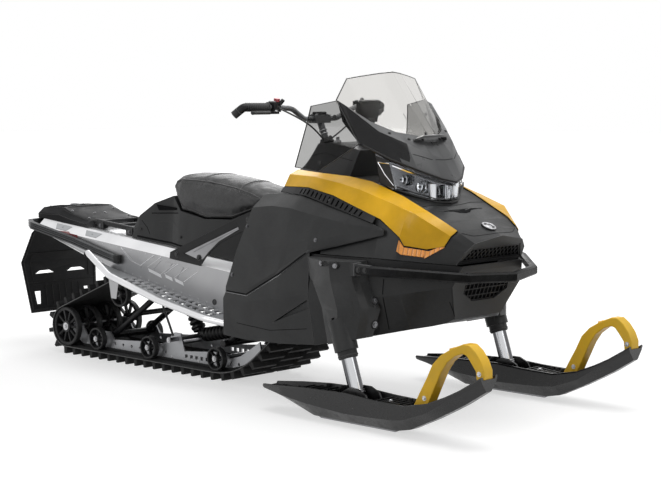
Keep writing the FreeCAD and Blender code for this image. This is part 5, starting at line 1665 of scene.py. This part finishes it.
    def display_parts(self) -> None:
        """Give the display its glass face, two plain dials and a row of buttons."""
        low, high = (Vector(end) for end in self.display)
        up = (high - low).normalized()
        back = Vector((-up.z, 0.0, up.x))
        foot = low + up * 0.016 + back * 0.0006
        top = foot + up * self.display_height
        half = Vector((0.0, self.display_half, 0.0))
        face = Piece("display_face").plate([foot - half, foot + half, top + half, top - half], back * 0.0014)
        face.finish(Look.SCREEN, 0.0006)
        dials = Piece("display_dials")
        for y in (-0.026, 0.026):
            hub = foot + up * 0.033 + back * 0.0016 + Vector((0, y, 0))
            tip = foot + up * 0.045 + back * 0.0016 + Vector((0, y + 0.009, 0))
            dials.ring(hub, back, 0.019, 0.0009, 32, 6).rod(hub, tip, 0.0008, sides=6)
        dials.finish(Look.PALE)
        keys = Piece("display_buttons")
        for y in (-0.04, -0.02, 0.0, 0.02, 0.04):
            place = low + up * 0.008 + Vector((0, y, 0))
            keys.rod(place, place + back * 0.003, 0.004, sides=14)
        keys.finish(Look.PALE)

    def engine_ribs(self) -> None:
        """Rib the engine's sides and its head."""
        ribs = Piece("engine_ribs")
        for z in (0.4 + index * 0.022 for index in range(9)):
            ribs.block((0.61, 0.168, z), (0.84, 0.176, z + 0.006))
        ribs.mirrored()
        for x in (0.625 + index * 0.038 for index in range(6)):
            ribs.block((x, -0.15, 0.598), (x + 0.008, 0.15, 0.604))
        ribs.finish(Look.CAST, 0.001)

    def bumper_parts(self) -> None:
        """Bolt the bumper to its brackets, paint a highlight along its upper edges with pale grey rods and cap its
        ends.
        """
        spots = surface("front_bumper").spots(View.SIDE, ((0.898, 0.585), (0.932, 0.585)))
        Piece("bumper_bolts").bolts(spots, 0.007).mirrored().finish(Look.FRAME)
        # Painted highlight: pale grey rods along the bumper's upper edges.
        edges = Piece("bumper_edge_highlights")
        edges.outline("front_bumper", lambda edge: min(vert.co.z for vert in edge.verts) > 0.6, 0.0013, 0.5)
        edges.finish(Look.BAR)
        plates = Piece("bumper_plates").block((0.872, 0.4165, 0.56), (0.8835, 0.4595, 0.61))
        plates.mirrored().finish(Look.BAR, 0.003)


@dataclass
class Seat(Assembly):
    """Seat base and padded cushion."""

    skins = (Skin("seat_base", Look.BODY, 0.004),)

    voxel: float = 0.006
    pressure: float = 1.3
    stiffness: float = 18.0
    frames: int = 18
    most: float = 0.022
    shrink: float = 0.006
    overhang: float = 0.006
    fill: float = 0.75
    piping: Line = ((-0.5, 0.848), (-0.46, 0.856), (-0.3, 0.852), (-0.13, 0.832), (-0.02, 0.806), (0.03, 0.784))
    low_piping: Line = ((-0.5, 0.79), (-0.44, 0.735), (-0.3, 0.706), (-0.13, 0.712), (0.0, 0.758))
    cross_piping: tuple[tuple[float, float], ...] = ((-0.33, 0.13), (-0.1, 0.12))
    stitch_rows: tuple[float, ...] = (-0.342, -0.318, -0.112, -0.088)
    stitch_step: float = 0.0075
    recess: Line = ((-0.628, 0.737), (-0.49, 0.728), (-0.492, 0.718), (-0.61, 0.711))
    base_lines: tuple[tuple[Line, float], ...] = (
        (((-0.655, 0.696), (-0.482, 0.705)), 0.0022),
        (((-0.74, 0.588), (-0.47, 0.564), (0.0, 0.524)), 0.004),
        (((-0.72, 0.66), (-0.68, 0.63), (-0.66, 0.6)), 0.0012))
    base_screws: Line = ((-0.72, 0.62), (-0.45, 0.6), (-0.18, 0.6))

    def details(self) -> None:
        """Build the cushion with its seams, then the base's fittings."""
        self.seams(self.cushion())
        self.base_fittings()

    def cushion(self) -> bpy.types.Object:
        """Inflate the cushion by cloth simulation inside its frame node's space.

        Returns:
            The cushion's object.
        """
        piece = Piece("seat_pad").take("seat_cushion")
        pad = piece.finish(Look.VINYL, node="seat_cushion", crease=40.0)
        self.inflate(pad)
        return pad

    def inflate(self, pad: bpy.types.Object) -> None:
        """Remesh, blow up and smooth the cushion.

        Args:
            pad: the cushion's object.
        """
        for vert in pad.data.vertices:
            vert.co -= vert.normal * self.shrink
        remesh = pad.modifiers.new("Even mesh", "REMESH")
        remesh.mode = "VOXEL"
        remesh.voxel_size = self.voxel
        self.apply(pad, remesh)
        rest = [vert.co.copy() for vert in pad.data.vertices]
        self.blow_up(pad)
        low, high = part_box("seat_cushion")
        floor = (low.z + high.z) / 2 - 0.02
        for vert, old in zip(pad.data.vertices, rest):
            move = vert.co - old
            if move.length > self.most:
                move = move.normalized() * self.most
            vert.co = old + move * min(1.0, max(0.0, (old.z - low.z - 0.01) / 0.04))
            for axis in range(3):
                vert.co[axis] = min(max(vert.co[axis], low[axis] - self.overhang), high[axis] + self.overhang)
            if vert.co.z < floor and vert.co.z < old.z:
                vert.co.z = old.z
        smooth = pad.modifiers.new("Even skin", "SMOOTH")
        smooth.factor = 0.5
        smooth.iterations = 4
        self.apply(pad, smooth)
        for polygon in pad.data.polygons:
            polygon.use_smooth = True

    def blow_up(self, pad: bpy.types.Object) -> None:
        """Run the cloth simulation on the cushion.

        Args:
            pad: the cushion's object.
        """
        cloth = pad.modifiers.new("Inflation", "CLOTH")
        cloth.settings.use_pressure = True
        cloth.settings.uniform_pressure_force = self.pressure
        cloth.settings.effector_weights.gravity = 0.0
        cloth.settings.tension_stiffness = self.stiffness
        cloth.settings.compression_stiffness = self.stiffness
        cloth.settings.bending_stiffness = 0.8
        cloth.settings.quality = 5
        cloth.point_cache.frame_start = 1
        cloth.point_cache.frame_end = self.frames
        for number in range(1, self.frames + 1):
            bpy.context.scene.frame_set(number)
        self.apply(pad, cloth)
        bpy.context.scene.frame_set(1)

    def apply(self, pad: bpy.types.Object, modifier: bpy.types.Modifier) -> None:
        """Apply one modifier of the cushion.

        Args:
            pad: the cushion's object.
            modifier: the modifier.
        """
        sheet = bpy.context.evaluated_depsgraph_get()
        mesh = bpy.data.meshes.new_from_object(pad.evaluated_get(sheet), depsgraph=sheet)
        pad.modifiers.remove(modifier)
        old = pad.data
        pad.data = mesh
        bpy.data.meshes.remove(old)

    def seams(self, cushion: bpy.types.Object) -> None:
        """Lay piping and stitches on the finished cushion.

        Args:
            cushion: the cushion's object.
        """
        skin = Surface(mesh=cushion.data)
        piping = Piece("seat_piping").seam(skin, View.SIDE, self.piping, 0.0028, 0.0008, 0.015, True)
        piping.seam(skin, View.SIDE, self.low_piping, 0.0022, 0.0004, 0.015, True).mirrored()
        for x, half in self.cross_piping:
            piping.seam(skin, View.TOP, ((x, -half), (x, half)), 0.002, 0.0006, 0.01, True)
        piping.finish(Look.PIPING)
        rows = [(View.TOP, ((x, 0.004), (x, 0.116))) for x in self.stitch_rows]
        rows.append((View.SIDE, [(x, z - 0.012) for x, z in self.piping]))
        thread = Piece("seat_stitches")
        for view, line in rows:
            points = skin.trace(view, line, 0.0006, self.stitch_step)
            for start, end in list(zip(points, points[1:]))[::2]:
                thread.rod(start, end, 0.0007, sides=5)
        thread.mirrored().finish(Look.THREAD)

    def base_fittings(self) -> None:
        """Add the base's latch recess, slot, skirt line and screws."""
        base = surface("seat_base")
        marks = Piece("seat_base_marks").patch(base, View.SIDE, self.recess, 0.0006, (0.0, 0.0008, 0.0))
        for line, radius in self.base_lines:
            marks.seam(base, View.SIDE, line, radius)
        marks.mirrored().finish(Look.MATT)
        screws = Piece("seat_base_screws").bolts(base.spots(View.SIDE, self.base_screws), 0.005)
        screws.mirrored().finish(Look.BLACK)
        place, _ = base.spot(View.BEHIND, 0.0, 0.66)
        latch = Piece("seat_latch")
        latch.block(place + Vector((-0.008, -0.03, -0.012)), place + Vector((0.004, 0.03, 0.012)))
        latch.finish(Look.BLACK, 0.004)


@dataclass
class Steering(Assembly):
    """Handlebar with its grips, blocks and cables."""

    skins = (
        Skin("handlebar", Look.TUBE, 0.0, body=Body.BAR),
        Skin("grips", Look.GRIP, 0.0, body=Body.BAR),
        Skin("controls", Look.BLACK, body=Body.BAR),
    )

    cable_radius: float = 0.0035
    cable_length: float = 0.275
    cable_route: tuple[Point, ...] = ((0.2795, 0.25, 1.178), (0.312, 0.2, 1.15), (0.322, 0.12, 1.112),
                                      (0.316, 0.054, 1.07), (0.306, 0.0185, 1.046))
    grip_ends: tuple[Point, Point] = ((0.25, 0.29, 1.183), (0.2395, 0.4, 1.184))
    grip_ribs: int = 13
    grip_tip: Point = (0.222, 0.4245, 1.168)
    grip_tip_way: Point = (-0.55, 0.5, -0.65)
    lever: tuple[Point, Point] = ((0.275, 0.3, 1.162), (0.267, 0.388, 1.162))
    clip_steps: tuple[float, ...] = (0.085, 0.1)

    def details(self) -> None:
        """Add the cables, grip ribs, switches, clamp bolts and the bar pad."""
        for side, way in (("l", 1.0), ("r", -1.0)):
            self.cable("control_cable_" + side, [(x, y * way, z) for x, y, z in self.cable_route])
        self.ribs()
        self.switches()
        self.clamp()

    def cable(self, name: str, route: Sequence[Point]) -> None:
        """Run one control cable from its block to the post.

        Args:
            name: the cable's name.
            route: the points that shape its centre line.
        """
        cable = round_path(name, route, self.cable_radius, 3, True)
        cable.data.splines[0].resolution_u = 10
        cable.data.materials.append(Look.CABLE.value.material())
        bpy.context.scene.collection.objects.link(cable)
        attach(cable, Body.BAR.value)
        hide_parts("control_cables")
        log.info("%s: %d points", name, len(route))

    def ribs(self) -> None:
        """Ring the grips with ribs and end flanges."""
        start, end = (Vector(place) for place in self.grip_ends)
        way = (end - start).normalized()
        ribs = Piece("grip_ribs")
        for index in range(self.grip_ribs):
            ribs.ring(start + (end - start) * (index / (self.grip_ribs - 1)), way, 0.0168, 0.0014, 24, 6)
        ribs.ring(start, way, 0.018, 0.0026, 24).ring(self.grip_tip, self.grip_tip_way, 0.0165, 0.0016, 24, 6)
        ribs.mirrored().finish(Look.GRIP, body=Body.BAR)

    def switches(self) -> None:
        """Fit pale block faces, the red stop switch, rocker keys, lever pivots and lever pads."""
        faces = Piece("switch_faces").block((0.238, 0.241, 1.186), (0.27, 0.2745, 1.209))
        faces.mirrored().finish(Look.PALE, 0.004, Body.BAR)
        Piece("stop_switch").rod((0.262, -0.25, 1.2), (0.2655, -0.25, 1.219), 0.013).finish(Look.KILL, 0.002, Body.BAR)
        keys = Piece("rocker_keys")
        for y in (0.247, 0.268):
            keys.block((0.2295, y - 0.006, 1.172), (0.2335, y + 0.006, 1.196))
        keys.rod((0.276, 0.243, 1.196), (0.288, 0.236, 1.214), 0.008)
        keys.mirrored().finish(Look.BLACK, 0.0015, Body.BAR)
        pivots = Piece("lever_pivots").bolt((0.2765, 0.266, 1.168), Z_AXIS, 0.0055)
        pivots.mirrored().finish(Look.BRIGHT, body=Body.BAR)
        pads = Piece("lever_pads").rod(*self.lever, 0.0075).dome(self.lever[1], 0.0085)
        pads.mirrored().finish(Look.GRIP, body=Body.BAR)

    def clamp(self) -> None:
        """Bolt the riser's clamp, pad it and fix the cables to the post."""
        top = POST_FOOT + POST_WAY * 0.15
        spots = [(top + Vector((x, y, 0.02)), Z_AXIS) for x in (-0.014, 0.014) for y in (-0.032, 0.032)]
        Piece("clamp_bolts").bolts(spots, 0.005).finish(Look.BRIGHT, body=Body.BAR)
        pad = Piece("bar_pad").block(top + Vector((-0.019, -0.026, 0.0195)), top + Vector((0.019, 0.026, 0.033)))
        pad.finish(Look.GRIP, 0.005, Body.BAR)
        steps = [(step, 0.0155) for step in self.clip_steps]
        Piece("cable_clips").rings(POST_FOOT, POST_WAY, steps, 0.0022, 24).finish(Look.BRIGHT, body=Body.BAR)


@dataclass
class SkiSet(Assembly):
    """One leg with its ski."""

    side: str
    spindle: Body
    ski_body: Body
    ski_y: float = 0.462
    pin: Stop = (0.9196, 0.072)
    cheek: float = 0.042
    cheek_bolts: tuple[float, ...] = (-0.05, 0.055)
    deck_bolts: tuple[float, ...] = (0.752, 1.072, 1.155)
    loop_bolts: Line = ((1.255, 0.15), (1.505, 0.268))
    leg_rake: float = 18.8
    leg_foot: Stop = (0.907, 0.109)
    boot_rings: Line = ((0.012, 0.031), (0.02, 0.0305))
    seal_rings: Line = ((0.1495, 0.0335), (0.157, 0.0365))

    def __post_init__(self) -> None:
        """Find the side's middle and dress its nodes."""
        self.middle = self.ski_y if self.side == "l" else -self.ski_y
        self.skins = (
            Skin("leg_" + self.side, Look.CHROME, body=self.spindle),
            Skin("ski_" + self.side, Look.SKI, 0.002, body=self.ski_body),
            Skin("ski_handle_" + self.side, Look.LOOP, 0.004, body=self.ski_body),
            Skin("ski_runner_" + self.side, Look.STEEL, body=self.ski_body),
        )

    def details(self) -> None:
        """Add pin nuts, deck bolts, deck and loop ribs, the leg's collar and its housing's seal."""
        self.fasteners()
        self.ribs()
        way = Vector((-math.tan(math.radians(self.leg_rake)), 0.0, 1.0)).normalized()
        foot = Vector((self.leg_foot[0], self.middle, self.leg_foot[1]))
        Piece("leg_boot_" + self.side).rings(foot, way, self.boot_rings, 0.0035).finish(Look.BRIGHT, body=self.spindle)
        Piece("housing_seal_" + self.side).rings(foot, way, self.seal_rings, 0.0035).finish(Look.GRIP)

    def fasteners(self) -> None:
        """Fit the pin's nuts and the bolts of the cheeks, the deck and the loop."""
        x, z = self.pin
        nuts, bolts = Piece("ski_nuts_" + self.side), Piece("ski_deck_bolts_" + self.side)
        for way in (-1.0, 1.0):
            face = self.middle + way * self.cheek
            nuts.bolt((x, face, z), (0, way, 0), 0.0095)
            nuts.bolts([((x + step, face, z + 0.026), (0, way, 0)) for step in self.cheek_bolts], 0.005)
        nuts.finish(Look.BRIGHT, body=self.ski_body)
        deck = [(bolt_x, self.middle) for bolt_x in self.deck_bolts]
        bolts.bolts(surface("ski_" + self.side).spots(View.TOP, deck), 0.007)
        for bolt_x, bolt_z in self.loop_bolts:
            for way in (-1.0, 1.0):
                bolts.bolt((bolt_x, self.middle + way * 0.025, bolt_z), (0, way, 0), 0.006)
        bolts.finish(Look.BRIGHT, body=self.ski_body)

    def ribs(self) -> None:
        """Stand ribs on the deck, clear of the saddle, and on the loop's grip."""
        ski = surface("ski_" + self.side)
        ribs = Piece("ski_deck_ribs_" + self.side)
        for x in (0.55 + index * 0.026 for index in range(26)):
            if abs(x - self.pin[0]) < 0.085:
                continue
            for way in (-1.0, 1.0):
                place, _ = ski.spot(View.TOP, x, self.middle + way * 0.05)
                ribs.block(place + Vector((-0.002, -0.011, -0.002)), place + Vector((0.002, 0.011, 0.009)))
        ribs.finish(Look.SKI, 0.001, self.ski_body)
        grip = Piece("ski_handle_ribs_" + self.side)
        for index in range(5):
            x = 1.362 + index * 0.017
            grip.block((x, self.middle - 0.0165, 0.3345 + index * 0.0038),
                       (x + 0.006, self.middle + 0.0165, 0.3435 + index * 0.0052))
        grip.finish(Look.LOOP, 0.0015, self.ski_body)


# Studio

@dataclass
class Softbox:
    """One area lamp that faces a point."""

    name: str
    place: Point
    power: float
    size: float
    target: Point = (0.0, 0.0, 0.5)

    def build(self) -> None:
        """Add the lamp."""
        data = bpy.data.lights.new(self.name, "AREA")
        data.shape = "DISK"
        data.energy = self.power
        data.size = self.size
        lamp = bpy.data.objects.new(self.name, data)
        lamp.location = self.place
        lamp.rotation_euler = (Vector(self.target) - Vector(self.place)).to_track_quat("-Z", "Y").to_euler()
        bpy.context.scene.collection.objects.link(lamp)


@dataclass
class Studio:
    """White sweep, soft lamps and the camera."""

    camera_place: Point = (5.06322655, -4.99089127, 1.28510668)
    azimuth: float = 43.502
    elevation: float = 5.7074
    lens: float = 90.22
    floor_size: float = 60.0
    floor_values: ClassVar[dict[str, object]] = {
        "Base Color": (0.5, 0.5, 0.5), "Roughness": 0.75, "Specular IOR Level": 0.2, "Emission Color": WHITE}
    lamps: tuple[Softbox, ...] = (
        Softbox("Top softbox", (0.9, 0.2, 4.2), 115.0, 3.4),
        Softbox("Front softbox", (5.2, 0.4, 3.0), 26.0, 2.4),
        Softbox("Side softbox", (0.6, -5.2, 2.6), 42.0, 2.6),
        Softbox("Back softbox", (-3.5, 3.5, 3.0), 50.0, 2.6),
    )
    sky: float = 0.26
    near: float = 1.3
    far: float = 3.6
    floor_glow: float = 0.58

    def build(self) -> None:
        """Build the whole studio."""
        for lamp in self.lamps:
            lamp.build()
        self.floor()
        self.world()
        self.camera()

    def floor(self) -> None:
        """Lay the pale floor, which keeps the machine's shadow."""
        bm = bmesh.new()
        bmesh.ops.create_grid(bm, x_segments=1, y_segments=1, size=self.floor_size / 2)
        mesh = bpy.data.meshes.new("Studio floor")
        bm.to_mesh(mesh)
        bm.free()
        material = bpy.data.materials.new("Studio floor white")
        material.use_nodes = True
        sheet = NodeSheet(material.node_tree)
        reach = sheet.add("VectorMath", operation="LENGTH")
        sheet.feed(reach.inputs[0], sheet.coordinates())
        rim = sheet.ramp(reach.outputs["Value"], self.near, self.far)
        lift = sheet.math("MULTIPLY_ADD", rim, 1.0 - self.floor_glow, self.floor_glow)
        strength = sheet.math("MULTIPLY", lift, sheet.seen_rays())
        shader = material.node_tree.nodes["Principled BSDF"]
        for name, value in {**self.floor_values, "Emission Strength": strength}.items():
            sheet.feed(shader.inputs[name], value)
        mesh.materials.append(material)
        floor = bpy.data.objects.new("Studio floor", mesh)
        bpy.context.scene.collection.objects.link(floor)
        floor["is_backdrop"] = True

    def world(self) -> None:
        """Surround the machine with soft white."""
        world = bpy.data.worlds.new("Studio white")
        bpy.context.scene.world = world
        world.use_nodes = True
        sheet = NodeSheet(world.node_tree)
        ground = world.node_tree.nodes["Background"]
        strength = sheet.math("MULTIPLY_ADD", sheet.seen_rays(), 1.0 - self.sky, self.sky)
        sheet.feed(ground.inputs["Strength"], strength)
        sheet.feed(ground.inputs["Color"], WHITE)

    def camera(self) -> None:
        """Stand the camera where the photograph was taken."""
        data = bpy.data.cameras.new("Photograph camera")
        data.lens = self.lens
        data.sensor_width = 36.0
        camera = bpy.data.objects.new("Photograph camera", data)
        turn, rise = math.radians(self.azimuth), math.radians(self.elevation)
        back = Vector((math.sin(turn) * math.cos(rise), -math.cos(turn) * math.cos(rise), math.sin(rise)))
        camera.location = self.camera_place
        camera.rotation_euler = (-back).to_track_quat("-Z", "Y").to_euler()
        bpy.context.scene.collection.objects.link(camera)
        bpy.context.scene.camera = camera


def report_size(stage: str, sizes: dict[str, object]) -> None:
    """Keep the visible model's bounds at one moment.

    Args:
        stage: the moment's name.
        sizes: the record that the bounds are added to.
    """
    low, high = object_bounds()
    sizes[stage] = [list(map(float, low)), list(map(float, high))]


def main() -> None:
    """Build the machine's looks and the studio round it."""
    logging.basicConfig(level=logging.INFO, format="%(message)s")
    sizes: dict[str, object] = {}
    report_size("frame", sizes)
    assemblies = (
        RunningGear(), Tunnel(), Nose(), Seat(), Steering(),
        SkiSet("l", Body.SPINDLE_L, Body.SKI_L), SkiSet("r", Body.SPINDLE_R, Body.SKI_R),
    )
    for assembly in assemblies:
        assembly.build()
    Studio().build()
    bpy.context.scene.view_settings.view_transform = "Standard"
    report_size("dressed", sizes)


if __name__ == "__main__":
    main()
